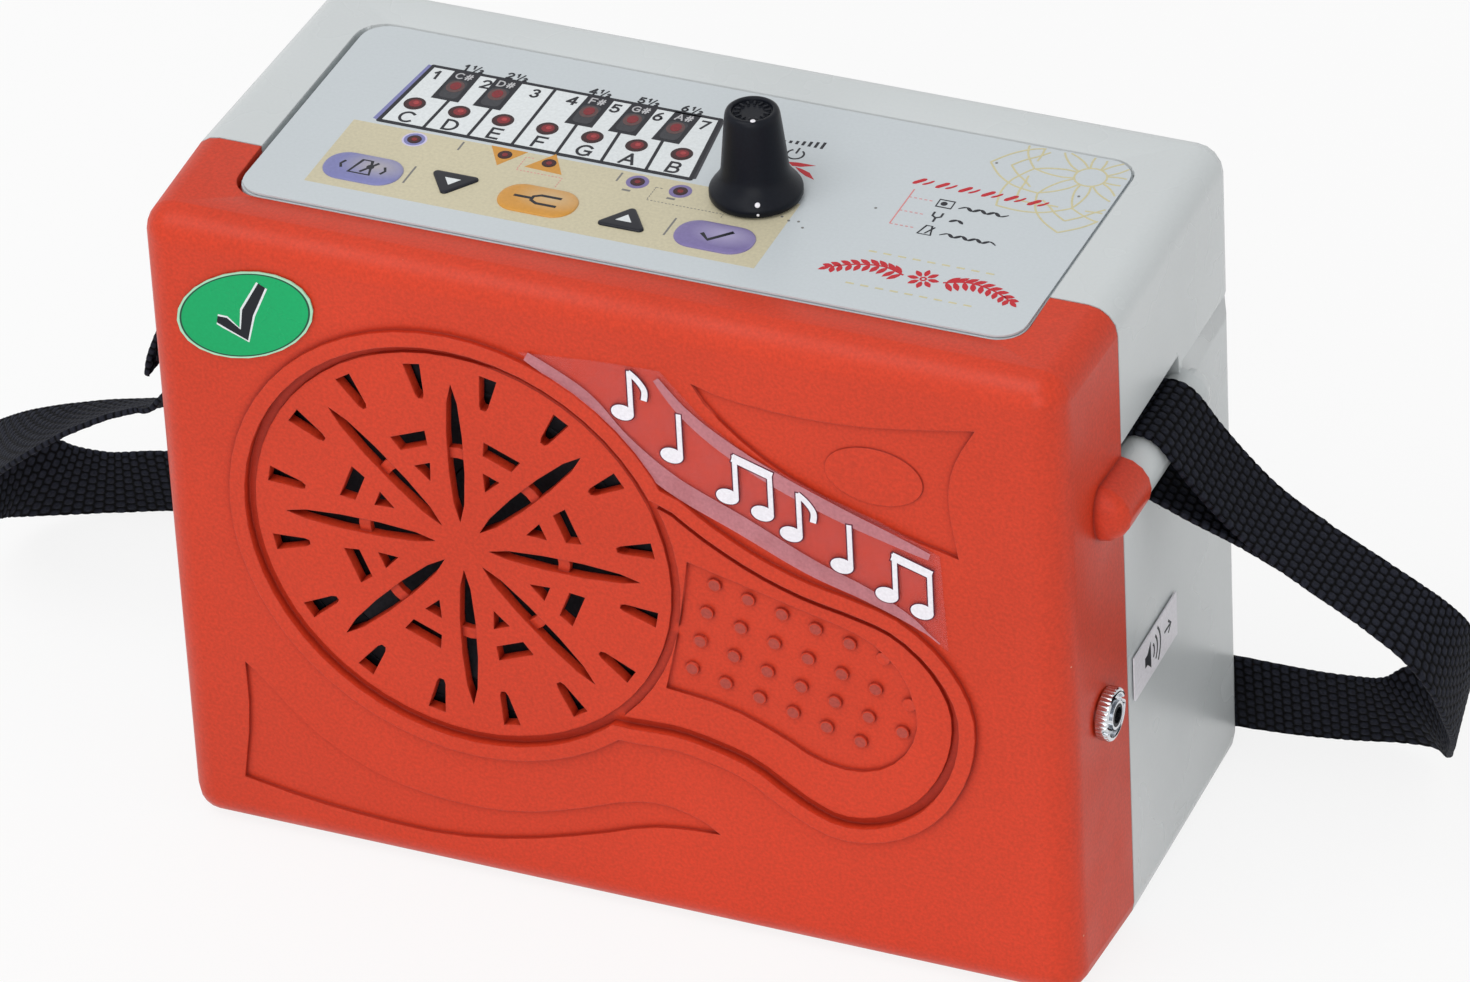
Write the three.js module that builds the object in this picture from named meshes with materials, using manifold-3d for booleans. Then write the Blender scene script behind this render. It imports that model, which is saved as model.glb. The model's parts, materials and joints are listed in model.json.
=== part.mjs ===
// Electronic shruti box: a drone and metronome instrument in a two shell plastic case.
// Lengths are in millimetres. X runs to the right, Y to the back and Z up.
// The origin lies on the ground at the middle of the case.
import * as THREE from 'three';
import { mergeVertices } from 'three/addons/utils/BufferGeometryUtils.js';
import Module from 'manifold-3d';

const wasm = await Module();
wasm.setup();

// Driving sizes of the case
const caseWidth = 200;
const caseDepth = 94.5;
const caseHeight = 150;
const wall = 2.5;
const seamDepth = 29.7;
const seamGap = 0.3;
const fitGap = 0.35;
const restGap = 0.3;
const overrun = 5;
const weldDistance = 0.0001;

// Mould draft and rounding of the two shells
const cornerRadius = 6;
const frontEdgeRadius = 6.5;
const rearEdgeRadius = 4;
const frontSideDraft = 1;
const frontTopDraft = 1;
const rearSideDraft = 1.25;
const cornerSteps = 4;
const ringSides = 56;
const neckSteps = 52;
const bossSides = 12;
const edgeSteps = 4;

// Places are shares of the case's width, depth or height
const speakerWidthShare = -0.157;
const speakerHeightShare = 0.556;
const barHeightShare = 0.724;
const strapBarDepthShare = 0.5132;
const slotBackDepthShare = 0.6667;
const knobWidthShare = 0.0855;
const knobDepthShare = 0.4772;
const jackHeightShare = 0.4133;
const sealWidthShare = -0.379;
const sealHeightShare = 0.866;
const tagDepthShare = 0.471;
const tagHeightShare = 0.3987;
const keyLengthShare = 0.084;

const frontY = -caseDepth / 2;
const rearY = caseDepth / 2;
const seamY = frontY + seamDepth;
const sideX = caseWidth / 2;
const rearLength = caseDepth - seamDepth;

// Control panel and its printed overlay
const panelLeftInset = 16.4;
const panelRightInset = 14.4;
const panelFront = 13.1;
const panelBackInset = 14.1;
const panelCorner = 6;
const panelSlack = 0.7;
const panelThickness = 2.2;
const overlayThickness = 0.4;
const ledgeWidth = 2.5;
const ledgeThickness = 1.6;
const ledgeWall = 3;

const panelLeft = -sideX + panelLeftInset;
const panelRight = sideX - panelRightInset;
const panelBack = caseDepth - panelBackInset;
const panelTop = caseHeight - overlayThickness - restGap;
const panelBottom = panelTop - panelThickness;
const ledgeTop = panelBottom - restGap;

// Keys, their switches and the main board
const keyLength = caseWidth * keyLengthShare;
const keyWidth = 9.8;
const keyCorner = 4.6;
const arrowHalfBase = 4;
const arrowBaseReach = 2.8;
const arrowTipReach = 2.8;
const arrowCorner = 0.9;
const keyTravel = 0.4;
const keyProud = 0.5;
const keyBevel = 0.35;
const keyWellDepth = 1.3;
const keyStemRadius = 2;
const boardDrop = 8.7;
const boardThickness = 1.6;
const boardSideInset = 5.6;
const boardFrontInset = 6.9;
const boardPastKnob = 22.9;
const boardCorner = 2;
const switchSize = 6;
const switchHeight = 3.5;
const switchBoreDepth = 1.9;
const plungerRadius = 1.6;
const plungerDepth = 1.2;

const knobX = caseWidth * knobWidthShare;
const knobDepth = caseDepth * knobDepthShare;
const boardTop = caseHeight - boardDrop;
const boardLeft = panelLeft + boardSideInset;
const boardRight = knobX + boardPastKnob;
const boardFront = panelFront + boardFrontInset;
const boardBack = panelBack - boardSideInset;

// Each key's place in width and depth, with the way that an arrow points
const keyRowShares = [
  { name: 'metronome', places: [-0.3075, 0.2995], color: 0xb4a8e0 },
  { name: 'pitch_down', places: [-0.2128, 0.3055], points: -1, color: 0x17171b },
  { name: 'fine_tune', places: [-0.1168, 0.3052], color: 0xe9a650 },
  { name: 'pitch_up', places: [-0.0198, 0.3015], points: 1, color: 0x17171b },
  { name: 'select', places: [0.0766, 0.2963], color: 0x8f74cc },
];
const keyRow = keyRowShares.map((key) => ({
  ...key, x: key.places[0] * caseWidth, depth: key.places[1] * caseDepth }));

// Lamps behind the windows of the overlay
const lampRadius = 1.5;
const lampWindowRadius = 2.3;
const lampRecess = 0.8;
const lampStripThickness = 1;
const lampStripMargin = 3;
const notePitchShare = 0.04915;
const firstNoteShare = -0.3095;
const noteDepthShare = 0.582;
const sharpDepthShare = 0.672;
const sharpLampShares = [-0.2835, -0.237, -0.1355, -0.0875, -0.04];
const markDepthShare = 0.4529;
const markLampShares = [-0.2835, -0.185, -0.1365, -0.038, 0.0095];
const noteCount = 7;

// Volume control
const knobRadius = 9.4;
const knobHeight = 20.3;
const knobTopRadius = 5.45;
const knobBodyRadius = 6.6;
const knobLift = 0.4;
const knobRimHeight = 2;
const knobFlareHeight = 6.6;
const knobCavityRadius = 6.9;
const knobCavityHeight = 3.8;
const knobCrown = 5.2;
const knobSides = 32;
const shaftRadius = 3;
const bushingRadius = 4.5;
const bushingProud = 3.1;
const nutRadius = 6.2;
const nutThickness = 2;
const washerThickness = 0.5;
const potRadius = 8;
const potFloor = 1;

// Speaker behind the grille
const speakerX = caseWidth * speakerWidthShare;
const speakerZ = caseHeight * speakerHeightShare;
const flangeRadius = 51;
const flangeThickness = 1.5;
const speakerMouthRadius = 43;
const speakerScrewCount = 4;
const speakerScrewRadius = 48;
const speakerScrewReach = 3.3;
const basketDepth = 26;
const basketBackRadius = 21;
const basketWall = 1.2;
const basketWindowWidth = 22;
const magnetRadius = 25;
const magnetThickness = 12;
const coneRadius = 36;
const coneDepth = 12;
const coneNeckRadius = 10;
const coneWall = 0.8;
const coilRadius = 9.2;
const coilLength = 10;
const coilWall = 0.6;
const speakerSides = 32;
const screwRadius = 1.1;
const screwHeadRadius = 2.4;
const screwHeadHeight = 1.6;
const screwSides = 8;

// Grille pattern
const grilleRadius = 45.8;
const grooveWidth = 2;
const grooveDepth = 1;
const beadWidth = 3.4;
const neckSpread = 0.6;
const beadHeight = 1.2;
const slotCount = 8;
const slotInner = 5.8;
const slotOuter = 39.2;
const slotHalfWidth = 1.8;
const slotEase = 3.5;
const ribInner = 20.8;
const ribOuter = 23.3;
const ribSetBack = 1;
const trapezoidInner = 23.8;
const trapezoidOuter = 27.1;
const trapezoidInnerHalf = 3.3;
const trapezoidOuterHalf = 4.2;
const triangleInner = 15.7;
const triangleOuter = 19.8;
const triangleHalf = 1.95;
const wedgeInner = 35;
const wedgeOuter = 43.1;
const wedgeHalf = 1.9;
const wedgeBlunt = 0.95;
const reliefDepth = 0.8;
const dotRadius = 1.5;
const dotRise = 0.7;
const dotSides = 10;
const ovalHalfWidth = 10.4;
const ovalHalfHeight = 6.6;
const ovalRise = 0.35;
const ovalSides = 32;
const sharpTurn = 0.9;

// Strap slots in the rear shell and the bars that hold the strap
const barRadius = 5.5;
const barZ = caseHeight * barHeightShare;
const slotRise = 9.7;
const slotDrop = 10.2;
const slotTop = barZ + slotRise;
const slotBottom = barZ - slotDrop;
const slotBackDepth = caseDepth * slotBackDepthShare;
const slotPocketDepth = 9.5;
const slotPocketWall = 2;
const barReach = 6;
const spigotRadius = 4.4;
const lugRadius = 6.3;
const lugRise = 0.7;
const lugZ = barZ + lugRise;
const lugFront = 15.2;
const lugNose = 3.2;
const lugSides = 16;
const gripGrooveRise = 6.9;
const gripGrooveHeight = 7;
const gripGrooveDepth = 1.4;

// Case posts and screws
const postRadius = 5;
const postInset = 11;
const postBore = 3.6;
const headSeat = 6;
const caseScrewRadius = 1.5;
const caseScrewHead = 3.2;
const caseScrewHeadHeight = 2.4;
const caseScrewReach = 14;
const pilotRadius = 1.8;
const bossRadius = 4.2;

// Battery well, cells and door
const cellRadius = 7.2;
const cellLength = 50.5;
const cellRows = 3;
const cellPitch = 15;
const contactGap = 1.2;
const wellFloor = 2;
const wellBottom = 27;
const wellBack = 17.5;
const doorThickness = 2;
const doorMargin = 2.8;
const doorHingeRadius = 1.1;
const contactThickness = 0.4;
const contactWidth = 11;

// Sockets
const jackDepth = 17;
const jackZ = caseHeight * jackHeightShare;
const jackNutRadius = 5.6;
const jackNutThickness = 2.7;
const jackBushingRadius = 3;
const jackBushingProud = 3.2;
const jackBoreRadius = 1.8;
const jackBodySize = 11;
const jackBodyLength = 14;
const powerInset = 24;
const powerX = sideX - powerInset;
const powerZ = 17;
const powerRadius = 4;
const powerBore = 2.9;
const powerPinRadius = 1;
const powerBodySize = 11;
const powerBodyDepth = 13;

// Stickers
const filmThickness = 0.3;
const sealX = caseWidth * sealWidthShare;
const sealZ = caseHeight * sealHeightShare;
const sealHalfLength = 16.4;
const sealHalfWidth = 9.7;
const sealTurn = THREE.MathUtils.degToRad(25);
const tagDepth = caseDepth * tagDepthShare;
const tagZ = caseHeight * tagHeightShare;
const tagLength = 25;
const tagHeight = 10.5;

// Speaker lead
const leadRadius = 1.2;
const leadSides = 8;
const leadSteps = 24;

// Carrying strap
const strapWidth = 20;
const strapThickness = 1.5;
const strapSteps = 120;

// Colours
const orange = 0xd2482c;
const cream = 0xcdd3d3;
const black = 0x1c1d22;
const steel = 0xb9bcc0;
const tin = 0x8d9095;

const group = new THREE.Group();

// Solids, placed and named

function solid(geometry) {
  const bare = geometry.clone();
  bare.deleteAttribute('normal');
  bare.deleteAttribute('uv');
  const merged = mergeVertices(bare, weldDistance);
  const mesh = new wasm.Mesh({
    numProp: 3,
    vertProperties: merged.attributes.position.array,
    triVerts: new Uint32Array(merged.index.array),
  });
  return new wasm.Manifold(mesh);
}

function geometryOf(body) {
  const mesh = body.getMesh();
  const geometry = new THREE.BufferGeometry();
  geometry.setAttribute('position', new THREE.BufferAttribute(new Float32Array(mesh.vertProperties), 3));
  geometry.setIndex(new THREE.BufferAttribute(new Uint32Array(mesh.triVerts), 1));
  return geometry;
}

function join(first, ...others) {
  return others.reduce((sum, other) => sum.add(solid(other)), first);
}

function cut(first, ...others) {
  return others.reduce((rest, other) => rest.subtract(solid(other)), first);
}

function piece(name, geometry, color, roughness = 0.5, metalness = 0) {
  const mesh = new THREE.Mesh(geometry, new THREE.MeshStandardMaterial({ color, roughness, metalness }));
  mesh.name = name;
  group.add(mesh);
  return mesh;
}

// Plain shapes

function box(x0, x1, y0, y1, z0, z1) {
  const geometry = new THREE.BoxGeometry(x1 - x0, y1 - y0, z1 - z0);
  geometry.translate((x0 + x1) / 2, (y0 + y1) / 2, (z0 + z1) / 2);
  return geometry;
}

function rodX(radius, x0, x1, y, z, sides = 20) {
  const geometry = new THREE.CylinderGeometry(radius, radius, x1 - x0, sides);
  geometry.rotateZ(-Math.PI / 2);
  geometry.translate((x0 + x1) / 2, y, z);
  return geometry;
}

function rodY(radius, y0, y1, x, z, sides = 20) {
  const geometry = new THREE.CylinderGeometry(radius, radius, y1 - y0, sides);
  geometry.translate(x, (y0 + y1) / 2, z);
  return geometry;
}

function rodZ(radius, z0, z1, x, y, sides = 20) {
  const geometry = new THREE.CylinderGeometry(radius, radius, z1 - z0, sides);
  geometry.rotateX(Math.PI / 2);
  geometry.translate(x, y, (z0 + z1) / 2);
  return geometry;
}

function lathe(profile, sides) {
  return new THREE.LatheGeometry(profile.map(([r, h]) => new THREE.Vector2(r, h)), sides);
}

function slab(shape, thickness, curveSegments = 3) {
  return new THREE.ExtrudeGeometry(shape, { depth: thickness, bevelEnabled: false, curveSegments });
}

// A flat shape in X and Z, with its thickness along Y
function frontPlate(shape, y0, y1, curveSegments = 3) {
  const geometry = slab(shape, y1 - y0, curveSegments);
  geometry.rotateX(Math.PI / 2);
  geometry.translate(0, y1, 0);
  return geometry;
}

// A flat shape in X and Y, with its thickness along Z
function topPlate(shape, z0, z1, curveSegments = 3) {
  const geometry = slab(shape, z1 - z0, curveSegments);
  geometry.translate(0, 0, z0);
  return geometry;
}

// A flat shape in Y and Z, with its thickness along X
function sidePlate(shape, x0, x1, curveSegments = 3) {
  const geometry = slab(shape, x1 - x0, curveSegments);
  const turn = new THREE.Matrix4().makeBasis(
    new THREE.Vector3(0, 1, 0), new THREE.Vector3(0, 0, 1), new THREE.Vector3(1, 0, 0));
  geometry.applyMatrix4(turn);
  geometry.translate(x0, 0, 0);
  return geometry;
}

function roundedRect(x0, y0, x1, y1, radius) {
  const shape = new THREE.Shape();
  shape.moveTo(x0 + radius, y0);
  shape.lineTo(x1 - radius, y0);
  shape.absarc(x1 - radius, y0 + radius, radius, -Math.PI / 2, 0);
  shape.lineTo(x1, y1 - radius);
  shape.absarc(x1 - radius, y1 - radius, radius, 0, Math.PI / 2);
  shape.lineTo(x0 + radius, y1);
  shape.absarc(x0 + radius, y1 - radius, radius, Math.PI / 2, Math.PI);
  shape.lineTo(x0, y0 + radius);
  shape.absarc(x0 + radius, y0 + radius, radius, Math.PI, Math.PI * 3 / 2);
  return shape;
}

// A polygon, given anticlockwise by the centres of its rounded corners
function roundedPolygon(points, radius) {
  const shape = new THREE.Shape();
  points.forEach(([x, y], i) => {
    const [ax, ay] = points[(i + points.length - 1) % points.length];
    const [bx, by] = points[(i + 1) % points.length];
    const start = Math.atan2(ax - x, y - ay);
    const turn = (Math.atan2(x - bx, by - y) - start + 2 * Math.PI) % (2 * Math.PI);
    if (i === 0) {
      shape.moveTo(x + radius * Math.cos(start), y + radius * Math.sin(start));
    }
    shape.absarc(x, y, radius, start, start + turn, false);
  });
  return shape;
}

function polygon(points) {
  return new THREE.Shape(points.map(([a, b]) => new THREE.Vector2(a, b)));
}

// A skin over a stack of rings with as many points each, closed at both ends
function loft(rings) {
  const count = rings[0].length;
  const positions = rings.flat().flatMap((p) => [p.x, p.y, p.z]);
  const faces = [];
  for (let k = 0; k + 1 < rings.length; k += 1) {
    for (let i = 0; i < count; i += 1) {
      const a = k * count + i;
      const b = k * count + (i + 1) % count;
      faces.push(a, b, b + count, a, b + count, a + count);
    }
  }
  const last = (rings.length - 1) * count;
  for (let i = 1; i + 1 < count; i += 1) {
    faces.push(0, i + 1, i);
    faces.push(last, last + i, last + i + 1);
  }
  const geometry = new THREE.BufferGeometry();
  geometry.setAttribute('position', new THREE.Float32BufferAttribute(positions, 3));
  geometry.setIndex(faces);
  return geometry;
}

// The case

function caseRing(y, inset, side, top, radius) {
  const x1 = sideX - side - inset;
  const z0 = inset;
  const z1 = caseHeight - top - inset;
  const r = Math.max(radius, cornerRadius / 10);
  const corners = [[x1 - r, z0 + r], [x1 - r, z1 - r], [r - x1, z1 - r], [r - x1, z0 + r]];
  return corners.flatMap(([cx, cz], quarter) => Array.from({ length: cornerSteps + 1 }, (_, i) => {
    const angle = (quarter - 1 + i / cornerSteps) * Math.PI / 2;
    return new THREE.Vector3(cx + r * Math.cos(angle), y, cz + r * Math.sin(angle));
  }));
}

// Rings run from the open joint to the closed face, which is rounded all round
function shellBlock(openY, faceY, edgeRadius, inset, sideDraft, topDraft) {
  const towards = Math.sign(faceY - openY);
  const length = Math.abs(faceY - seamY);
  const radius = edgeRadius - inset;
  const ringAt = (y, extra) => {
    const share = Math.max(Math.abs(y - seamY) / length, 0) * Math.sign((y - seamY) * towards + weldDistance);
    return caseRing(y, inset + extra, sideDraft * share, topDraft * share, cornerRadius - inset - extra);
  };
  const rings = [ringAt(openY, 0)];
  for (let i = 0; i <= edgeSteps; i += 1) {
    const angle = Math.PI / 2 * i / edgeSteps;
    const y = faceY - towards * (edgeRadius - radius * Math.sin(angle));
    rings.push(ringAt(y, radius * (1 - Math.cos(angle))));
  }
  return loft(towards > 0 ? rings.reverse() : rings);
}

function halfWidthAt(y) {
  const ahead = (seamY - y) / seamDepth;
  const behind = (y - seamY) / rearLength;
  return sideX - (ahead > 0 ? frontSideDraft * ahead : rearSideDraft * behind);
}

function panelOutline(grow) {
  const radius = panelCorner + grow;
  return roundedRect(panelLeft - grow, frontY + panelFront - grow,
    panelRight + grow, frontY + panelBack + grow, Math.max(radius, cornerRadius / 10));
}

// The panel's window, wider at the left where a dark gap shows
function windowOutline() {
  return roundedRect(panelLeft - fitGap - panelSlack, frontY + panelFront - fitGap,
    panelRight + fitGap, frontY + panelBack + fitGap, panelCorner + fitGap);
}

// A shelf under the panel's edge, hung from the top wall round the window
function panelShelf() {
  const shelf = solid(topPlate(panelOutline(ledgeWall), ledgeTop - ledgeThickness, caseHeight - wall + fitGap));
  return cut(shelf,
    topPlate(windowOutline(), ledgeTop, caseHeight + overrun),
    topPlate(panelOutline(-ledgeWidth), ledgeTop - overrun, caseHeight + overrun));
}

function postPlaces() {
  const x = sideX - postInset;
  return [[-x, postInset], [x, postInset], [-x, caseHeight - postInset], [x, caseHeight - postInset]];
}

function smoothLoop(points, steps) {
  const curve = new THREE.CatmullRomCurve3(points.map(([x, z]) => new THREE.Vector3(x, z, 0)), true);
  return curve.getPoints(steps).slice(0, -1).map((p) => [p.x, p.y]);
}

// Moves a closed outline, given anticlockwise, outwards by a distance
function growLoop(points, distance) {
  return points.map(([x, z], i) => {
    const [ax, az] = points[(i + points.length - 1) % points.length];
    const [bx, bz] = points[(i + 1) % points.length];
    const length = Math.hypot(bx - ax, bz - az);
    return [x + distance * (bz - az) / length, z - distance * (bx - ax) / length];
  });
}

function placed(shares) {
  return shares.map(([u, v]) => [u * caseWidth, v * caseHeight]);
}

// Rounds the gentle bends of a closed outline and leaves its sharp corners
function easeLoop(points) {
  return points.flatMap(([x, z], i) => {
    const [ax, az] = points[(i + points.length - 1) % points.length];
    const [bx, bz] = points[(i + 1) % points.length];
    const turn = Math.atan2((x - ax) * (bz - z) - (z - az) * (bx - x), (x - ax) * (bx - x) + (z - az) * (bz - z));
    if (Math.abs(turn) > sharpTurn) {
      return [[x, z]];
    }
    return [[x + (ax - x) / 4, z + (az - z) / 4], [x + (bx - x) / 4, z + (bz - z) / 4]];
  });
}

// Outlines of the relief on the front, as shares of the case's width and height
const neckShares = [
  [-0.02, 0.69], [0.064, 0.693], [0.11, 0.655], [0.163, 0.617], [0.217, 0.591], [0.271, 0.576], [0.312, 0.559],
  [0.352, 0.514], [0.375, 0.455], [0.375, 0.393], [0.36, 0.333], [0.331, 0.278], [0.289, 0.241], [0.246, 0.231],
  [0.206, 0.251], [0.152, 0.296], [0.11, 0.313], [0.069, 0.322], [0.013, 0.32], [-0.03, 0.33],
];
const fieldShares = [
  [0.091, 0.606], [0.078, 0.495], [0.06, 0.391], [0.127, 0.381], [0.182, 0.352], [0.222, 0.322], [0.263, 0.315],
  [0.299, 0.333], [0.325, 0.373], [0.335, 0.423], [0.323, 0.487], [0.297, 0.528], [0.265, 0.549],
  [0.21, 0.566], [0.145, 0.588],
];
const sweepShares = [
  [-0.415, 0.286], [-0.4145, 0.196], [-0.427, 0.088], [-0.358, 0.071], [-0.276, 0.062], [-0.196, 0.061], [-0.115, 0.081],
  [-0.033, 0.116], [0.028, 0.149], [0.068, 0.159], [0.111, 0.163], [0.089, 0.183], [0.05, 0.195], [0.01, 0.187],
  [-0.051, 0.153], [-0.113, 0.127], [-0.173, 0.12], [-0.233, 0.127], [-0.292, 0.151], [-0.35, 0.198],
  [-0.395, 0.263],
];
const cornerPanelShares = [
  [0.106, 0.895], [0.123, 0.859], [0.166, 0.808], [0.22, 0.765], [0.282, 0.73], [0.368, 0.705], [0.385, 0.699],
  [0.376, 0.773], [0.377, 0.819], [0.387, 0.861], [0.407, 0.908], [0.344, 0.891], [0.277, 0.877], [0.208, 0.874],
  [0.14, 0.881],
];
const ovalCentreShares = [0.2968, 0.8019];
const filmShares = [
  [-0.078, 0.893], [0.008, 0.829], [0.051, 0.767], [0.1, 0.718], [0.167, 0.677], [0.235, 0.637], [0.302, 0.615],
  [0.335, 0.585], [0.371, 0.55], [0.366, 0.7], [0.306, 0.735], [0.239, 0.762], [0.166, 0.8], [0.12, 0.842],
  [0.074, 0.907], [0.006, 0.903],
];

function neckLoop() {
  return growLoop(smoothLoop(placed(neckShares).reverse(), neckSteps), neckSpread);
}

// The ring round the grille and the neck that runs on from it, grown by a distance
function ringAndNeck(grow, y0, y1) {
  const neck = neckLoop();
  return solid(rodY(grilleRadius + grooveWidth + grow, y0, y1, speakerX, speakerZ, ringSides))
    .add(solid(frontPlate(polygon(growLoop(neck, grow)), y0, y1)));
}

function grilleCuts() {
  const y0 = frontY - overrun;
  const y1 = frontY + wall + restGap;
  const cuts = [];
  for (let k = 0; k < slotCount; k += 1) {
    const step = 2 * Math.PI / slotCount;
    const slot = new THREE.Shape();
    slot.moveTo(slotInner, 0);
    const bulge = 4 * slotHalfWidth / 3;
    slot.bezierCurveTo(slotInner + slotEase, -bulge, slotOuter - slotEase, -bulge, slotOuter, 0);
    slot.bezierCurveTo(slotOuter - slotEase, bulge, slotInner + slotEase, bulge, slotInner, 0);
    const trapezoid = polygon([[trapezoidInner, -trapezoidInnerHalf], [trapezoidOuter, -trapezoidOuterHalf],
      [trapezoidOuter, trapezoidOuterHalf], [trapezoidInner, trapezoidInnerHalf]]);
    const triangle = polygon([[triangleInner, 0], [triangleOuter, -triangleHalf], [triangleOuter, triangleHalf]]);
    const wedge = polygon([[wedgeInner, -wedgeBlunt / 2], [wedgeInner + wedgeBlunt, -wedgeBlunt],
      [wedgeOuter, -wedgeHalf], [wedgeOuter, wedgeHalf], [wedgeInner + wedgeBlunt, wedgeBlunt],
      [wedgeInner, wedgeBlunt / 2]]);
    const turned = [[slot, 0], [trapezoid, 1 / 2], [triangle, 1 / 2], [wedge, 1 / 4], [wedge, 3 / 4]];
    turned.forEach(([shape, turn]) => {
      const plate = frontPlate(shape, y0, y1, 5);
      plate.rotateY(-(k + turn) * step);
      plate.translate(speakerX, 0, speakerZ);
      cuts.push(plate);
    });
  }
  return cuts;
}

// A low oval pad that stands on the floor of the corner panel
function raisedOval() {
  const [[x, z]] = placed([ovalCentreShares]);
  const pad = new THREE.Shape();
  pad.absellipse(x, z, ovalHalfWidth, ovalHalfHeight, 0, 2 * Math.PI, false);
  const top = frontY + reliefDepth - ovalRise;
  return frontPlate(pad, top, top + wall / 2, ovalSides);
}

function fieldDots() {
  const rowShares = [
    [0.119, 0.576, 0.299, 0.513, 6], [0.109, 0.528, 0.325, 0.446, 7],
    [0.1, 0.479, 0.316, 0.398, 7], [0.0895, 0.431, 0.27, 0.368, 6],
  ];
  return rowShares.flatMap(([u0, v0, u1, v1, count]) => Array.from({ length: count }, (_, i) => {
    const t = i / (count - 1);
    const x = caseWidth * (u0 + (u1 - u0) * t);
    const z = caseHeight * (v0 + (v1 - v0) * t);
    return rodY(dotRadius, frontY + reliefDepth - dotRise, frontY + reliefDepth + dotRise, x, z, dotSides);
  }));
}

function frontShell() {
  const openY = seamY - seamGap / 2;
  const outer = shellBlock(openY, frontY, frontEdgeRadius, 0, frontSideDraft, frontTopDraft);
  const inner = shellBlock(seamY + overrun, frontY, frontEdgeRadius, wall, frontSideDraft, frontTopDraft);
  let shell = solid(outer);

  // Relief on the front face
  const neck = neckLoop();
  const lift = frontY - beadHeight;
  const root = frontY + wall / 2;
  const bead = ringAndNeck(beadWidth, lift, root);
  const inside = ringAndNeck(0, lift - overrun, root + overrun);
  shell = shell.add(bead.subtract(inside));

  const ringGroove = solid(rodY(grilleRadius + grooveWidth, frontY - overrun, frontY + grooveDepth,
    speakerX, speakerZ, ringSides)).subtract(solid(rodY(grilleRadius, lift - overrun, root + overrun,
    speakerX, speakerZ, ringSides)));
  const neckBand = solid(frontPlate(polygon(neck), frontY - overrun, frontY + grooveDepth));
  const neckGroove = cut(neckBand, frontPlate(polygon(growLoop(neck, -grooveWidth)), lift - overrun, root + overrun),
    rodY(grilleRadius + grooveWidth, lift - overrun, root + overrun, speakerX, speakerZ, ringSides));
  shell = shell.subtract(ringGroove).subtract(neckGroove);

  const sunk = [fieldShares, sweepShares, cornerPanelShares].map((shares) => frontPlate(
    polygon(easeLoop(placed(shares))), frontY - overrun, frontY + reliefDepth));
  shell = cut(shell, ...sunk);
  shell = join(shell, raisedOval(), ...fieldDots());

  // Lugs over the free ends of the strap bars
  [-1, 1].forEach((side) => {
    const x = side * sideX;
    shell = join(shell,
      rodY(lugRadius, frontY + lugFront + lugNose, openY, x, lugZ, lugSides),
      ballAt(lugRadius, x, frontY + lugFront + lugNose, lugZ, lugNose / lugRadius));
  });

  shell = shell.subtract(solid(inner).subtract(lugCores()));
  [-1, 1].forEach((side) => {
    shell = cut(shell, rodY(spigotRadius + fitGap, openY - barReach - fitGap, openY + overrun,
      side * sideX, barZ, lugSides));
  });

  // Window for the control panel and the shelf that carries it
  shell = cut(shell, topPlate(windowOutline(), ledgeTop, caseHeight + overrun));
  const front = solid(box(-sideX, sideX, frontY + wall, openY, 0, caseHeight));
  shell = shell.add(panelShelf().intersect(front));

  // Grille
  shell = cut(shell, ...grilleCuts());
  const rib = solid(rodY(ribOuter, frontY + ribSetBack, frontY + wall, speakerX, speakerZ, 24))
    .subtract(solid(rodY(ribInner, frontY - overrun, frontY + wall + overrun, speakerX, speakerZ, 24)));
  shell = shell.add(rib);

  // Bosses for the speaker and the case screws, and the jack's hole
  speakerScrewPlaces().forEach(([x, z]) => {
    shell = join(shell, rodY(screwHeadRadius + fitGap, frontY + wall / 2, speakerFaceY() - restGap, x, z, bossSides));
    shell = cut(shell, rodY(screwRadius + restGap, frontY + wall, speakerFaceY() + overrun, x, z, screwSides));
  });
  postPlaces().forEach(([x, z]) => {
    shell = join(shell, rodY(bossRadius, frontY + wall / 2, openY, x, z, bossSides));
    shell = cut(shell, rodY(pilotRadius, openY - caseScrewReach - restGap, openY + overrun, x, z, screwSides));
  });
  return cut(shell, rodX(jackBushingRadius + restGap, sideX - overrun, sideX + overrun,
    frontY + jackDepth, jackZ, 20));
}

function ballAt(radius, x, y, z, flatness = 1) {
  const ball = new THREE.SphereGeometry(radius, lugSides, lugSides / 2);
  ball.rotateX(Math.PI);
  ball.scale(1, flatness, 1);
  ball.translate(x, y, z);
  return ball;
}

// The lugs stay whole inside the case
function lugCores() {
  const y0 = frontY + lugFront + lugNose;
  const left = solid(rodY(lugRadius, y0, seamY + overrun * 2, -sideX, lugZ, lugSides));
  return join(left, rodY(lugRadius, y0, seamY + overrun * 2, sideX, lugZ, lugSides));
}

// Speaker, built about its own axis and then laid on the front wall

function speakerFaceY() {
  return frontY + wall + restGap + flangeThickness;
}

function speakerScrewPlaces() {
  return Array.from({ length: speakerScrewCount }, (_, i) => {
    const angle = 2 * Math.PI * (i + 1 / 2) / speakerScrewCount;
    return [speakerX + speakerScrewRadius * Math.cos(angle), speakerZ + speakerScrewRadius * Math.sin(angle)];
  });
}

function speakerPiece(name, geometry, color, roughness, metalness) {
  const mesh = piece(name, geometry, color, roughness, metalness);
  mesh.position.set(speakerX, speakerFaceY(), speakerZ);
}

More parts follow.
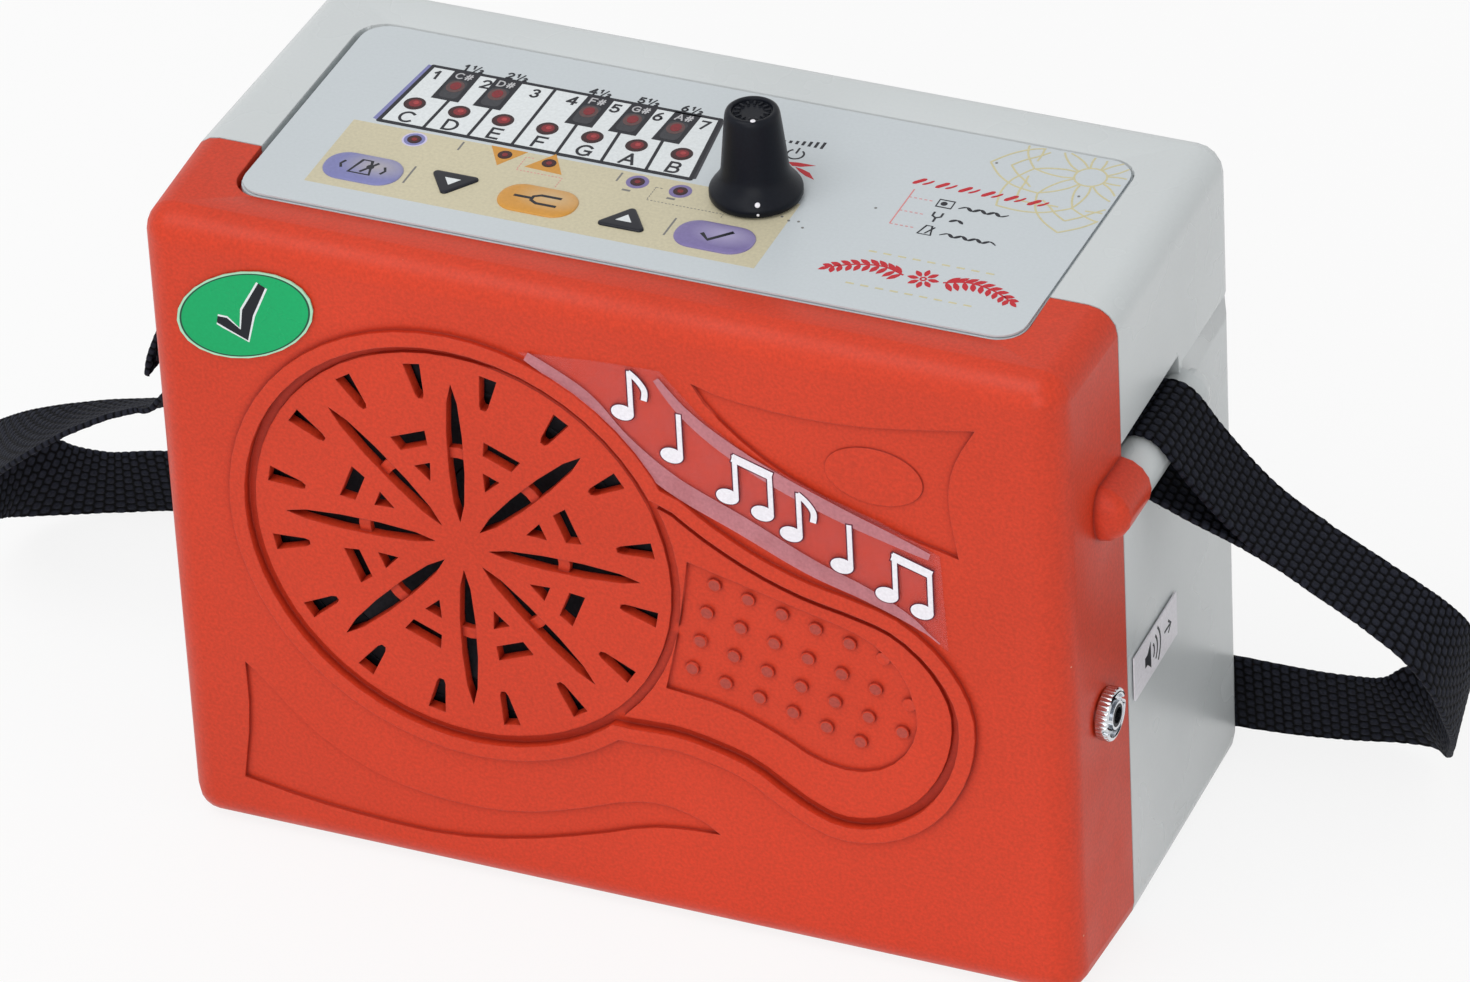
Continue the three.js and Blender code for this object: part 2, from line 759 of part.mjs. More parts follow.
function speaker() {
  const slope = (basketDepth - flangeThickness) / (speakerMouthRadius - basketBackRadius);
  const rimIn = speakerMouthRadius + basketWall;
  const basket = lathe([
    [speakerMouthRadius, 0], [flangeRadius, 0], [flangeRadius, flangeThickness],
    [rimIn, flangeThickness], [basketBackRadius + basketWall, flangeThickness + slope * (rimIn
      - basketBackRadius - basketWall)], [basketBackRadius + basketWall, basketDepth],
    [coneNeckRadius + fitGap, basketDepth], [coneNeckRadius + fitGap, basketDepth - basketWall],
    [basketBackRadius, basketDepth - basketWall], [speakerMouthRadius, flangeThickness],
    [speakerMouthRadius, 0],
  ], speakerSides);
  const window = (turn) => {
    const opening = box(-basketWindowWidth / 2, basketWindowWidth / 2,
      flangeThickness + basketDepth / 5, basketDepth * 2 / 3, basketBackRadius, flangeRadius + overrun);
    opening.rotateY(turn);
    return opening;
  };
  let frame = cut(solid(basket), ...[0, 1, 2, 3].map((k) => window(k * Math.PI / 2)));
  speakerScrewPlaces().forEach(([x, z]) => {
    frame = cut(frame, rodY(screwRadius + restGap, -overrun, flangeThickness + overrun,
      x - speakerX, z - speakerZ, screwSides));
  });
  speakerPiece('speaker_frame', geometryOf(frame), 0x2b2c2f, 0.6, 0.5);

  const magnet = lathe([[0, 0], [magnetRadius, 0], [magnetRadius, magnetThickness], [0, magnetThickness]], 32);
  magnet.translate(0, basketDepth + restGap, 0);
  speakerPiece('speaker_magnet', magnet, 0x3a3b3d, 0.6, 0.4);

  const surroundOut = speakerMouthRadius - restGap;
  const surroundIn = coneRadius + restGap;
  const surround = lathe([[surroundIn, 0], [(surroundIn + surroundOut) / 2, -flangeThickness / 2],
    [surroundOut, 0], [surroundOut, coneWall], [(surroundIn + surroundOut) / 2, coneWall - flangeThickness / 2],
    [surroundIn, coneWall], [surroundIn, 0]], speakerSides);
  speakerPiece('speaker_surround', surround, 0x17181a, 0.9);

  const cone = lathe([[coneNeckRadius, coneDepth], [coneRadius, 0], [coneRadius, coneWall],
    [coneNeckRadius, coneDepth + coneWall], [coneNeckRadius, coneDepth]], speakerSides);
  speakerPiece('speaker_cone', cone, 0x24241f, 0.95);

  const capRadius = coneNeckRadius - restGap;
  const cap = lathe([[0, -capRadius / 3], [capRadius * 0.55, -capRadius / 4], [capRadius * 0.85, -capRadius / 9],
    [capRadius, 0], [capRadius, coneWall], [0, coneWall]], 24);
  cap.translate(0, coneDepth, 0);
  speakerPiece('speaker_dust_cap', cap, 0x1b1b1b, 0.8);

  const coil = lathe([[coilRadius - coilWall, 0], [coilRadius, 0], [coilRadius, coilLength],
    [coilRadius - coilWall, coilLength], [coilRadius - coilWall, 0]], 24);
  coil.translate(0, coneDepth + coneWall + restGap, 0);
  speakerPiece('speaker_voice_coil', coil, 0xb06a35, 0.4, 0.6);
}

function screwAlongY(reach, radius, headRadius, headHeight) {
  return lathe([[0, -reach], [radius, -reach], [radius, 0], [headRadius, 0], [headRadius, headHeight],
    [headRadius / 3, headHeight], [headRadius / 3, headHeight / 2], [0, headHeight / 2]], screwSides);
}

// Control panel, overlay, keys and lamps

function keyShape(key, grow) {
  const y = frontY + key.depth;
  if (key.points) {
    const side = key.points;
    const corners = [[-arrowHalfBase, -arrowBaseReach], [arrowHalfBase, -arrowBaseReach], [0, arrowTipReach]];
    return roundedPolygon(corners.map(([u, v]) => [key.x + side * u, y + side * v]), arrowCorner + grow);
  }
  const length = keyLength / 2 + grow;
  const width = keyWidth / 2 + grow;
  return roundedRect(key.x - length, y - width, key.x + length, y + width, keyCorner + grow);
}

function lampPlaces() {
  const place = (u, v) => [u * caseWidth, v * caseDepth];
  const notes = Array.from({ length: noteCount }, (_, i) => (
    place(firstNoteShare + i * notePitchShare, noteDepthShare)));
  const sharps = sharpLampShares.map((u) => place(u, sharpDepthShare));
  const marks = markLampShares.map((u) => place(u, markDepthShare));
  return { notes: notes.concat(sharps), marks };
}

function boardScrewPlaces() {
  const inset = postRadius;
  return [[boardLeft + inset, boardBack - inset], [boardRight - inset, boardBack - inset]];
}

function controlPanel() {
  let panel = solid(topPlate(panelOutline(0), panelBottom, panelTop));
  const lamps = lampPlaces();
  lamps.notes.concat(lamps.marks).forEach(([x, depth]) => {
    panel = cut(panel, rodZ(lampWindowRadius, panelBottom - overrun, panelTop + overrun, x, frontY + depth, 8));
  });
  keyRow.forEach((key) => {
    panel = cut(panel, topPlate(keyShape(key, fitGap), panelTop - keyWellDepth, panelTop + overrun, 2),
      rodZ(keyStemRadius + fitGap, panelBottom - overrun, panelTop, key.x, frontY + key.depth, 16));
  });
  panel = cut(panel, rodZ(bushingRadius + restGap, panelBottom - overrun, panelTop + overrun,
    knobX, frontY + knobDepth, 24));
  boardScrewPlaces().forEach(([x, depth]) => {
    panel = join(panel, rodZ(screwHeadRadius, boardTop + restGap, panelBottom + panelThickness / 2,
      x, frontY + depth, 16));
    panel = cut(panel, rodZ(screwRadius + restGap, boardTop - overrun, panelBottom + restGap,
      x, frontY + depth, screwSides));
  });
  return panel;
}

function overlay() {
  let film = solid(topPlate(panelOutline(-restGap), caseHeight - overlayThickness, caseHeight));
  keyRow.forEach((key) => {
    film = cut(film, topPlate(keyShape(key, fitGap), caseHeight - overrun, caseHeight + overrun, 2));
  });
  return cut(film, rodZ(bushingRadius + restGap, caseHeight - overrun, caseHeight + overrun,
    knobX, frontY + knobDepth, 24));
}

function keyCap(key) {
  const bottom = panelTop - keyWellDepth + keyTravel + restGap;
  const height = caseHeight + keyProud - bottom;
  const plate = new THREE.ExtrudeGeometry(keyShape({ ...key, x: 0, depth: -frontY }, -keyBevel), {
    depth: height - 2 * keyBevel, bevelEnabled: true, bevelThickness: keyBevel, bevelSize: keyBevel,
    bevelSegments: 1, curveSegments: 2 });
  plate.translate(0, 0, keyBevel);
  const stemLength = bottom - (switchTop() + plungerProud());
  const stem = rodZ(keyStemRadius, restGap - stemLength, height / 2, 0, 0, 14);
  const mesh = piece(`${key.name}_key`, geometryOf(join(solid(plate), stem)), key.color, 0.45);
  mesh.position.set(key.x, frontY + key.depth, bottom);
}

function switchTop() {
  return boardTop + restGap + switchHeight;
}

function plungerProud() {
  return (panelBottom - switchTop()) / 2;
}

function keySwitch(key) {
  const half = switchSize / 2;
  const body = solid(box(-half, half, -half, half, 0, switchHeight));
  const bored = cut(body, rodZ(plungerRadius + restGap, switchHeight - switchBoreDepth, switchHeight + overrun,
    0, 0, 14));
  const housing = piece(`${key.name}_switch`, geometryOf(bored), 0x35363a, 0.5);
  housing.position.set(key.x, frontY + key.depth, boardTop + restGap);
  const plunger = piece(`${key.name}_plunger`,
    rodZ(plungerRadius, -plungerDepth, plungerProud(), 0, 0, 14), 0xe8e6df, 0.4);
  plunger.position.set(key.x, frontY + key.depth, switchTop());
}

function lampModule(places) {
  const xs = places.map(([x]) => x);
  const ys = places.map(([, depth]) => frontY + depth);
  const z0 = boardTop + restGap;
  const z1 = z0 + lampStripThickness;
  const strip = topPlate(roundedRect(Math.min(...xs) - lampStripMargin, Math.min(...ys) - lampStripMargin,
    Math.max(...xs) + lampStripMargin, Math.max(...ys) + lampStripMargin, lampRadius), z0, z1, 3);
  const shoulder = panelTop - lampRecess - lampRadius;
  const lamps = places.map(([x, depth]) => {
    const lamp = lathe([[0, z0 + lampStripThickness / 2], [lampRadius, z0 + lampStripThickness / 2],
      [lampRadius, shoulder], [lampRadius * Math.SQRT1_2, shoulder + lampRadius * Math.SQRT1_2],
      [0, shoulder + lampRadius]], 8);
    lamp.rotateX(Math.PI / 2);
    lamp.translate(x, frontY + depth, 0);
    return lamp;
  });
  return join(solid(strip), ...lamps);
}

function mainBoard() {
  let board = solid(topPlate(roundedRect(boardLeft, frontY + boardFront, boardRight, frontY + boardBack,
    boardCorner), boardTop - boardThickness, boardTop, 3));
  boardScrewPlaces().forEach(([x, depth], i) => {
    board = cut(board, rodZ(screwRadius + restGap, boardTop - overrun, boardTop + overrun,
      x, frontY + depth, screwSides));
    const screw = screwAlongY(wall + boardThickness, screwRadius, screwHeadRadius, screwHeadHeight);
    screw.rotateX(-Math.PI / 2);
    const mesh = piece(`board_screw_${i + 1}`, screw, steel, 0.35, 0.9);
    mesh.position.set(x, frontY + depth, boardTop - boardThickness - restGap);
  });
  piece('main_board', geometryOf(board), 0x2f6b3a, 0.6);
}

// Volume control: potentiometer, nut, washer and knob

function volumeControl() {
  const seat = caseHeight;
  const potTop = panelBottom - restGap;
  const bushingTop = seat + bushingProud + restGap;
  const profile = [[0, boardTop + restGap], [potRadius, boardTop + restGap], [potRadius, potTop],
    [bushingRadius, potTop], [bushingRadius, bushingTop], [shaftRadius + fitGap, bushingTop],
    [shaftRadius + fitGap, boardTop + restGap + potFloor], [0, boardTop + restGap + potFloor]];
  const pot = lathe(profile, 24);
  pot.rotateX(Math.PI / 2);
  const place = (mesh) => mesh.position.set(knobX, frontY + knobDepth, 0);
  place(piece('volume_potentiometer', pot, 0x77797d, 0.4, 0.7));

  const shaftTop = seat + knobHeight - knobCrown;
  const shaftBottom = boardTop + restGap + potFloor + restGap;
  place(piece('potentiometer_shaft', rodZ(shaftRadius, shaftBottom, shaftTop, 0, 0, 20), steel, 0.35, 0.9));

  const washer = lathe([[bushingRadius + restGap, 0], [nutRadius, 0], [nutRadius, washerThickness],
    [bushingRadius + restGap, washerThickness], [bushingRadius + restGap, 0]], 24);
  washer.rotateX(Math.PI / 2);
  washer.translate(0, 0, seat + restGap);
  place(piece('potentiometer_washer', washer, steel, 0.35, 0.9));
  const nutFloor = seat + 2 * restGap + washerThickness;
  const hex = rodZ(nutRadius, nutFloor, nutFloor + nutThickness, 0, 0, 6);
  const nut = cut(solid(hex), rodZ(bushingRadius + restGap, seat, seat + overrun, 0, 0, 20));
  place(piece('potentiometer_nut', geometryOf(nut), steel, 0.35, 0.9));

  const flareRadius = (knobRadius + knobBodyRadius) / 2;
  const bottom = knobLift;
  const knob = lathe([
    [knobCavityRadius, bottom], [knobRadius, bottom], [knobRadius, bottom + knobRimHeight],
    [flareRadius, bottom + (knobRimHeight + knobFlareHeight) / 2], [knobBodyRadius, bottom + knobFlareHeight],
    [knobTopRadius, knobHeight - knobLift], [knobTopRadius - knobLift, knobHeight], [0, knobHeight],
    [0, knobHeight - knobCrown + restGap], [shaftRadius + restGap, knobHeight - knobCrown + restGap],
    [shaftRadius + restGap, bottom + knobCavityHeight], [knobCavityRadius, bottom + knobCavityHeight],
    [knobCavityRadius, bottom],
  ], knobSides);
  knob.rotateX(Math.PI / 2);
  knob.translate(0, 0, seat);
  place(piece('volume_knob', knob, black, 0.45));
}

// Rear shell

function slotRegion(side, grow) {
  const x0 = sideX - wall - slotPocketDepth;
  return side > 0 ? [x0 - grow, sideX + overrun] : [-sideX - overrun, -x0 + grow];
}

function wellBounds() {
  const half = cellLength + 2 * restGap + contactGap;
  const top = wellBottom + cellRows * cellPitch + restGap;
  return { half, top };
}

function rearShell() {
  const openY = seamY + seamGap / 2;
  const outer = shellBlock(openY, rearY, rearEdgeRadius, 0, rearSideDraft, 0);
  const inner = shellBlock(seamY - overrun, rearY, rearEdgeRadius, wall, rearSideDraft, 0);
  let shell = solid(outer).subtract(solid(inner));

  shell = cut(shell, topPlate(windowOutline(), ledgeTop, caseHeight + overrun));
  const behind = solid(box(-sideX, sideX, openY, rearY, 0, caseHeight));
  shell = shell.add(panelShelf().intersect(behind));

  // Strap slots: a pocket behind each slot, the slot itself and the bar across it
  const slotBackY = frontY + slotBackDepth;
  [-1, 1].forEach((side) => {
    const [p0, p1] = slotRegion(side, slotPocketWall);
    const pocket = solid(box(p0, p1, openY, slotBackY + slotPocketWall, slotBottom - slotPocketWall,
      slotTop + slotPocketWall)).intersect(solid(outer));
    const [h0, h1] = slotRegion(side, 0);
    shell = shell.add(pocket);
    shell = cut(shell, box(h0, h1, openY - overrun, slotBackY, slotBottom, slotTop));
    const root = side * (sideX - barRadius / 2);
    shell = join(shell, rodY(barRadius, openY, slotBackY + slotPocketWall / 2, side * sideX, barZ, lugSides),
      rodY(spigotRadius, openY - barReach, openY + wall, side * sideX, barZ, lugSides),
      ballAt(barRadius, side * sideX, slotBackY + slotPocketWall / 2, barZ),
    rodY(barRadius / 2, slotBackY - slotPocketWall, slotBackY + slotPocketWall, root, barZ, lugSides));

    // Grip groove that runs back from the slot
    const gripTop = barZ + gripGrooveRise;
    const groove = loft([slotBackY + slotPocketWall, rearY + overrun].map((y) => {
      const x = side * halfWidthAt(y);
      const ring = [[x + side * gripGrooveDepth, gripTop], [x - side * gripGrooveDepth, gripTop],
        [x + side * gripGrooveDepth, gripTop - 2 * gripGrooveHeight]];
      return (side > 0 ? ring : ring.reverse()).map(([a, c]) => new THREE.Vector3(a, y, c));
    }).reverse());
    shell = cut(shell, groove);
  });

  // Posts for the case screws
  postPlaces().forEach(([x, z]) => {
    shell = join(shell, rodY(postRadius, openY, rearY - wall / 2, x, z, bossSides));
    shell = cut(shell, rodY(postBore, openY + headSeat, rearY + overrun, x, z, bossSides),
      rodY(pilotRadius, openY - overrun, openY + headSeat + overrun, x, z, screwSides));
  });

  // Battery well, open to the back, and the seat of its door
  const well = wellBounds();
  const wellFrontY = rearY - doorThickness - restGap - wellBack;
  shell = join(shell, box(-well.half - doorMargin, well.half + doorMargin, wellFrontY - wellFloor,
    rearY - wall / 2, wellBottom - doorMargin, well.top + doorMargin));
  shell = cut(shell, box(-well.half, well.half, wellFrontY, rearY + overrun, wellBottom, well.top),
    box(-well.half - doorMargin / 2, well.half + doorMargin / 2, rearY - doorThickness - restGap,
      rearY + overrun, wellBottom - doorMargin / 2, well.top + doorMargin / 2));

  // Power socket
  return cut(shell, rodY(powerRadius + restGap, rearY - overrun, rearY + overrun, powerX, powerZ, 20));
}

// Battery door, cells and contacts

function batteryDoor() {
  const well = wellBounds();
  const half = well.half + doorMargin / 2 - fitGap;
  const bottom = wellBottom - doorMargin / 2 + fitGap;
  const top = well.top + doorMargin / 2 - fitGap;
  const y0 = rearY - doorThickness;
  const hinge = doorThickness / 2;
  const plate = solid(box(-half, half, y0, rearY, bottom + hinge, top));
  const door = join(plate, rodX(hinge, -half, half, y0 + hinge, bottom + hinge, 16));
  const latch = box(-contactWidth, contactWidth, y0 - restGap - wall, y0 + hinge, well.top - wall / 2 - fitGap,
    well.top - fitGap);
  piece('battery_door', geometryOf(join(door, latch)), cream, 0.5);
}

function cells() {
  const cellY = rearY - doorThickness - 2 * restGap - cellRadius;
  const nub = cellRadius / 3;
  const body = cellLength - nub / 2;
  for (let row = 0; row < cellRows; row += 1) {
    [-1, 1].forEach((side) => {
      const cell = lathe([[0, -cellLength / 2], [cellRadius, -cellLength / 2], [cellRadius, body - cellLength / 2],
        [nub, body - cellLength / 2], [nub, cellLength / 2], [0, cellLength / 2]], 16);
      cell.rotateZ(-Math.PI / 2);
      const label = side < 0 ? 'left' : 'right';
      const mesh = piece(`battery_cell_${label}_${row + 1}`, cell, 0x3d4a5c, 0.35, 0.5);
      mesh.position.set(side * (cellLength + restGap) / 2, cellY, wellBottom + restGap + cellPitch * (row + 1 / 2));
    });
  }
  const well = wellBounds();
  [-1, 1].forEach((side) => {
    const x = side * (well.half - restGap - contactThickness / 2);
    const plate = box(x - contactThickness / 2, x + contactThickness / 2, cellY - contactWidth / 2,
      cellY + contactWidth / 2, wellBottom + cellPitch / 4, well.top - cellPitch / 4);
    piece(`battery_contact_${side < 0 ? 'left' : 'right'}`, plate, steel, 0.3, 0.9);
  });
}

// Sockets

function headphoneJack() {
  const x = halfWidthAt(frontY + jackDepth);
  const y = frontY + jackDepth;
  const inner = x - wall - restGap;
  const half = jackBodySize / 2;
  const body = solid(box(inner - jackBodyLength, inner, y - half, y + half, jackZ - half, jackZ + half));
  const bored = cut(join(body, rodX(jackBushingRadius, inner - restGap, x + jackBushingProud, y, jackZ, 20)),
    rodX(jackBoreRadius, inner - jackBodyLength + wall, x + overrun, y, jackZ, 14));
  piece('speaker_jack', geometryOf(bored), 0x9a9ca0, 0.35, 0.8);
  const nut = solid(rodX(jackNutRadius, x + restGap, x + restGap + jackNutThickness, y, jackZ, 24));
  const ring = cut(nut, rodX(jackBushingRadius + restGap, x - overrun, x + overrun, y, jackZ, 20));
  piece('jack_nut', geometryOf(ring), 0xc9ccd0, 0.2, 1);
}

function powerSocket() {
  const back = rearY - wall - restGap;
  const half = powerBodySize / 2;
  const block = box(powerX - half, powerX + half, back - powerBodyDepth, back, powerZ - half, powerZ + half);
  const barrel = rodY(powerRadius, back - restGap, rearY, powerX, powerZ, 20);
  const hollow = rodY(powerBore, back - powerBodyDepth + wall, rearY + overrun, powerX, powerZ, 16);
  const pin = rodY(powerPinRadius, back - powerBodyDepth + wall / 2, rearY - wall, powerX, powerZ, 8);
  piece('power_socket', geometryOf(join(cut(join(solid(block), barrel), hollow), pin)), black, 0.5);
}

// Stickers and the clear film

function stickers() {
  const y0 = frontY - restGap - filmThickness;
  const trim = ringAndNeck(beadWidth + fitGap, y0 - overrun, frontY);
  const seal = new THREE.Shape();
  seal.absellipse(0, 0, sealHalfLength, sealHalfWidth, 0, 2 * Math.PI);
  const oval = frontPlate(seal, -filmThickness, 0, 12);
  oval.rotateY(-sealTurn);
  oval.translate(sealX, frontY - restGap, sealZ);
  piece('round_sticker', geometryOf(solid(oval).subtract(trim)), 0x23b06e, 0.4);

  const y = frontY + tagDepth;
  const tag = roundedRect(-tagLength / 2, -tagHeight / 2, tagLength / 2, tagHeight / 2, filmThickness);
  const label = piece('side_sticker', sidePlate(tag, 0, filmThickness, 2), 0xf2f2f6, 0.5);
  label.position.set(halfWidthAt(y) + restGap, y, tagZ);
  label.rotation.z = Math.atan2(rearSideDraft, rearLength);

  const film = solid(frontPlate(polygon(placed(filmShares)), y0, frontY - restGap)).subtract(trim);
  piece('clear_film', geometryOf(film), 0xe0a090, 0.2);
}

// Lead from the speaker to the board

function speakerLead() {
  const startX = speakerX + basketBackRadius;
  const startY = speakerFaceY() + basketDepth / 2;
  const startZ = speakerZ + flangeRadius * 4 / 5;
  const endZ = boardTop - boardThickness - restGap;
  const path = new THREE.CatmullRomCurve3([
    new THREE.Vector3(startX, startY, startZ),
    new THREE.Vector3(startX + potRadius, startY + potRadius, startZ + leadRadius),
    new THREE.Vector3(startX + 2 * potRadius, startY + 2 * potRadius, endZ - potRadius),
    new THREE.Vector3(startX + 2 * potRadius, startY + 2 * potRadius, endZ),
  ]);
  const ring = new THREE.Shape();
  for (let i = 0; i < leadSides; i += 1) {
    const angle = 2 * Math.PI * i / leadSides;
    const point = [leadRadius * Math.cos(angle), leadRadius * Math.sin(angle)];
    if (i === 0) {
      ring.moveTo(...point);
    } else {
      ring.lineTo(...point);
    }
  }
  const lead = new THREE.ExtrudeGeometry(ring, { steps: leadSteps, bevelEnabled: false, extrudePath: path });
  piece('speaker_lead', lead, 0x8f2a26, 0.6);
}

// Carrying strap: a flat ribbon, woven and sewn to itself round each bar

const strapWrapSteps = 8;
const strapBarDepth = caseDepth * strapBarDepthShare;
const rightWrapStart = THREE.MathUtils.degToRad(240);
const rightWrapEnd = THREE.MathUtils.degToRad(42);
const leftWrapStart = THREE.MathUtils.degToRad(313);
const leftWrapEnd = THREE.MathUtils.degToRad(510);

// The strap's way from its right end to its left end. Each place gives shares of the case's width,
// depth and height, then the twist: 1 lays the strap flat, and 2 stands it on edge.
const strapRightEndShares = [
  [0.6575, 0.5365, 0.5607, 1],
  [0.5925, 0.5302, 0.6107, 1],
  [0.5375, 0.5206, 0.65, 1],
];
const strapRouteShares = [
  [0.548, 0.5164, 0.7107, 1],
  [0.575, 0.5238, 0.6653, 1],
  [0.6065, 0.5312, 0.6213, 1],
  [0.655, 0.5344, 0.5773, 1],
  [0.725, 0.5344, 0.526, 1.02],
  [0.77, 0.5397, 0.4853, 1.06],
  [0.7935, 0.5714, 0.4333, 1.14],
  [0.797, 0.6402, 0.3633, 1.28],
  [0.785, 0.7407, 0.2933, 1.44],
  [0.764, 0.855, 0.2147, 1.62],
  [0.74, 0.963, 0.1493, 1.82],
  [0.7125, 1.0455, 0.1053, 1.98],
  [0.68, 1.0899, 0.0787, 2.12],
  [0.6375, 1.0942, 0.07, 2.18],
  [0.58, 1.0751, 0.0677, 2.15],
  [0.4725, 1.0571, 0.0687, 2.09],
  [0, 1.0561, 0.0687, 2.06],
  [-0.5, 1.0582, 0.0687, 2.1],
  [-0.675, 1.054, 0.0673, 2.15],
  [-0.75, 1.0286, 0.066, 2.2],
  [-0.81, 0.9778, 0.066, 2.21],
  [-0.8575, 0.9122, 0.0753, 2.12],
  [-0.8865, 0.8339, 0.102, 1.9],
  [-0.895, 0.7492, 0.1467, 1.64],
  [-0.88, 0.6667, 0.1987, 1.43],
  [-0.85, 0.6032, 0.2507, 1.27],
  [-0.81, 0.5577, 0.302, 1.14],
  [-0.7625, 0.5344, 0.348, 1],
  [-0.7125, 0.5302, 0.386, 0.86],
  [-0.6625, 0.5291, 0.416, 0.75],
  [-0.6125, 0.528, 0.4453, 0.68],
  [-0.59, 0.5259, 0.4867, 0.78],
  [-0.574, 0.5228, 0.5333, 0.88],
  [-0.5545, 0.5185, 0.5827, 0.96],
  [-0.53, 0.5143, 0.626, 1],
  [-0.506, 0.5132, 0.6573, 1],
];
const strapLeftEndShares = [
  [-0.562, 0.5153, 0.6773, 1],
  [-0.5865, 0.5185, 0.6133, 1],
  [-0.602, 0.5217, 0.5627, 1],
  [-0.6065, 0.5228, 0.5347, 1],
];

function strapPlaces(shares) {
  return shares.map(([u, v, w, twist]) => ({
    point: new THREE.Vector3(u * caseWidth, frontY + v * caseDepth, w * caseHeight), twist }));
}

function strapWrap(side, start, end) {
  const hug = barRadius + restGap + strapThickness / 2;
  return Array.from({ length: strapWrapSteps + 1 }, (_, i) => {
    const angle = THREE.MathUtils.lerp(start, end, i / strapWrapSteps);
    const x = side * sideX + hug * Math.cos(angle);
    return { point: new THREE.Vector3(x, frontY + strapBarDepth, barZ + hug * Math.sin(angle)), twist: 1 };
  });
}

function strap() {
  const rows = strapPlaces(strapRightEndShares).concat(
    strapWrap(1, rightWrapStart, rightWrapEnd), strapPlaces(strapRouteShares),
    strapWrap(-1, leftWrapStart, leftWrapEnd), strapPlaces(strapLeftEndShares));
  const curve = new THREE.CatmullRomCurve3(rows.map((row) => row.point));
  const rings = [];
  for (let i = 0; i <= strapSteps; i += 1) {
    const place = i / strapSteps * (rows.length - 1);
    const low = Math.min(Math.floor(place), rows.length - 2);
    const twist = THREE.MathUtils.lerp(rows[low].twist, rows[low + 1].twist, place - low) * Math.PI / 2;
    const t = i / strapSteps;
    const centre = curve.getPoint(t);
    const along = curve.getTangent(t);
    const across = new THREE.Vector3(0, Math.sin(twist), -Math.cos(twist));
    across.addScaledVector(along, -along.dot(across)).normalize();
    const up = new THREE.Vector3().crossVectors(along, across);
    const corner = (a, b) => centre.clone().addScaledVector(across, a * strapWidth / 2)
      .addScaledVector(up, b * strapThickness / 2);
    rings.push([corner(-1, -1), corner(1, -1), corner(1, 1), corner(-1, 1)]);
  }
  return loft(rings);
}

// Assembly

piece('front_shell', geometryOf(frontShell()), orange, 0.45);
piece('rear_shell', geometryOf(rearShell()), cream, 0.5);
piece('control_panel', geometryOf(controlPanel()), cream, 0.5);
piece('panel_overlay', geometryOf(overlay()), 0xcfd5d6, 0.35);
keyRow.forEach((key) => {
  keyCap(key);
  keySwitch(key);
});
mainBoard();
piece('note_lamps', geometryOf(lampModule(lampPlaces().notes)), 0x9c1f22, 0.3);
piece('mark_lamps', geometryOf(lampModule(lampPlaces().marks)), 0x9c1f22, 0.3);
volumeControl();
speaker();
speakerScrewPlaces().forEach(([x, z], i) => {
  const screw = screwAlongY(speakerScrewReach, screwRadius, screwHeadRadius, screwHeadHeight);
  const mesh = piece(`speaker_screw_${i + 1}`, screw, steel, 0.35, 0.9);
  mesh.position.set(x, speakerFaceY() + flangeThickness + restGap, z);
});
postPlaces().forEach(([x, z], i) => {
  const screw = screwAlongY(headSeat + caseScrewReach - restGap, caseScrewRadius, caseScrewHead,
    caseScrewHeadHeight);
  const mesh = piece(`case_screw_${i + 1}`, screw, tin, 0.35, 0.9);
  mesh.position.set(x, seamY + seamGap / 2 + headSeat + restGap, z);
});
batteryDoor();
cells();
headphoneJack();
powerSocket();
stickers();
speakerLead();
piece('carrying_strap', strap(), 0x191c22, 0.9);

export default group;
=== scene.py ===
"""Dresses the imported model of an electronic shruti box: a drone and metronome instrument.

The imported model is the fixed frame. This script gives its shells, label, keys, knob, sockets, strap and
inner parts their looks, and sets the camera, the lamps and the floor. Sizes in the classes are in
millimetres. A place on the case is given by its width x, its depth behind the front face and its height.
"""

from __future__ import annotations

import json
import logging
import math
from abc import ABC, abstractmethod
from dataclasses import dataclass, field
from enum import Enum
from typing import Callable, Sequence

import bpy
from mathutils import Matrix, Vector

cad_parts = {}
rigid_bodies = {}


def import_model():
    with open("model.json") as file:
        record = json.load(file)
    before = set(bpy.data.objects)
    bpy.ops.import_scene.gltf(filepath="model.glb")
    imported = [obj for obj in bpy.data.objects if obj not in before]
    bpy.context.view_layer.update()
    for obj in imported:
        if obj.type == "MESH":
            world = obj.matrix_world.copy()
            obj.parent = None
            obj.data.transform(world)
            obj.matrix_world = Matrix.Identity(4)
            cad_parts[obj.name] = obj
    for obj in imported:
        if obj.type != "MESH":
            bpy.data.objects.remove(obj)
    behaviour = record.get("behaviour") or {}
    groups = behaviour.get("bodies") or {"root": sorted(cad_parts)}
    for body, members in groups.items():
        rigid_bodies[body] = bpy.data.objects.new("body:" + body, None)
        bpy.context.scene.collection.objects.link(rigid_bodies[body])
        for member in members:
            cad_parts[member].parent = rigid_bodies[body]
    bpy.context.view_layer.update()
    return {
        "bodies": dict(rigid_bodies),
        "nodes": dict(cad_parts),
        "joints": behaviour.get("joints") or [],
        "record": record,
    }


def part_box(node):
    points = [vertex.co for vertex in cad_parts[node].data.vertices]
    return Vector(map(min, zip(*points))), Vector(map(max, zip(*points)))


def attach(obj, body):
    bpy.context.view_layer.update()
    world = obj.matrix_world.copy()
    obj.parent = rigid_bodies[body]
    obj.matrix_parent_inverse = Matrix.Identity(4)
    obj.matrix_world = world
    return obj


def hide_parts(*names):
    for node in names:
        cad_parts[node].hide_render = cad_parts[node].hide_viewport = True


# One millimetre in the scene's metres. The other sizes are in millimetres.
MM = 0.001
CASE_WIDTH = 200.0
CASE_DEPTH = 94.5
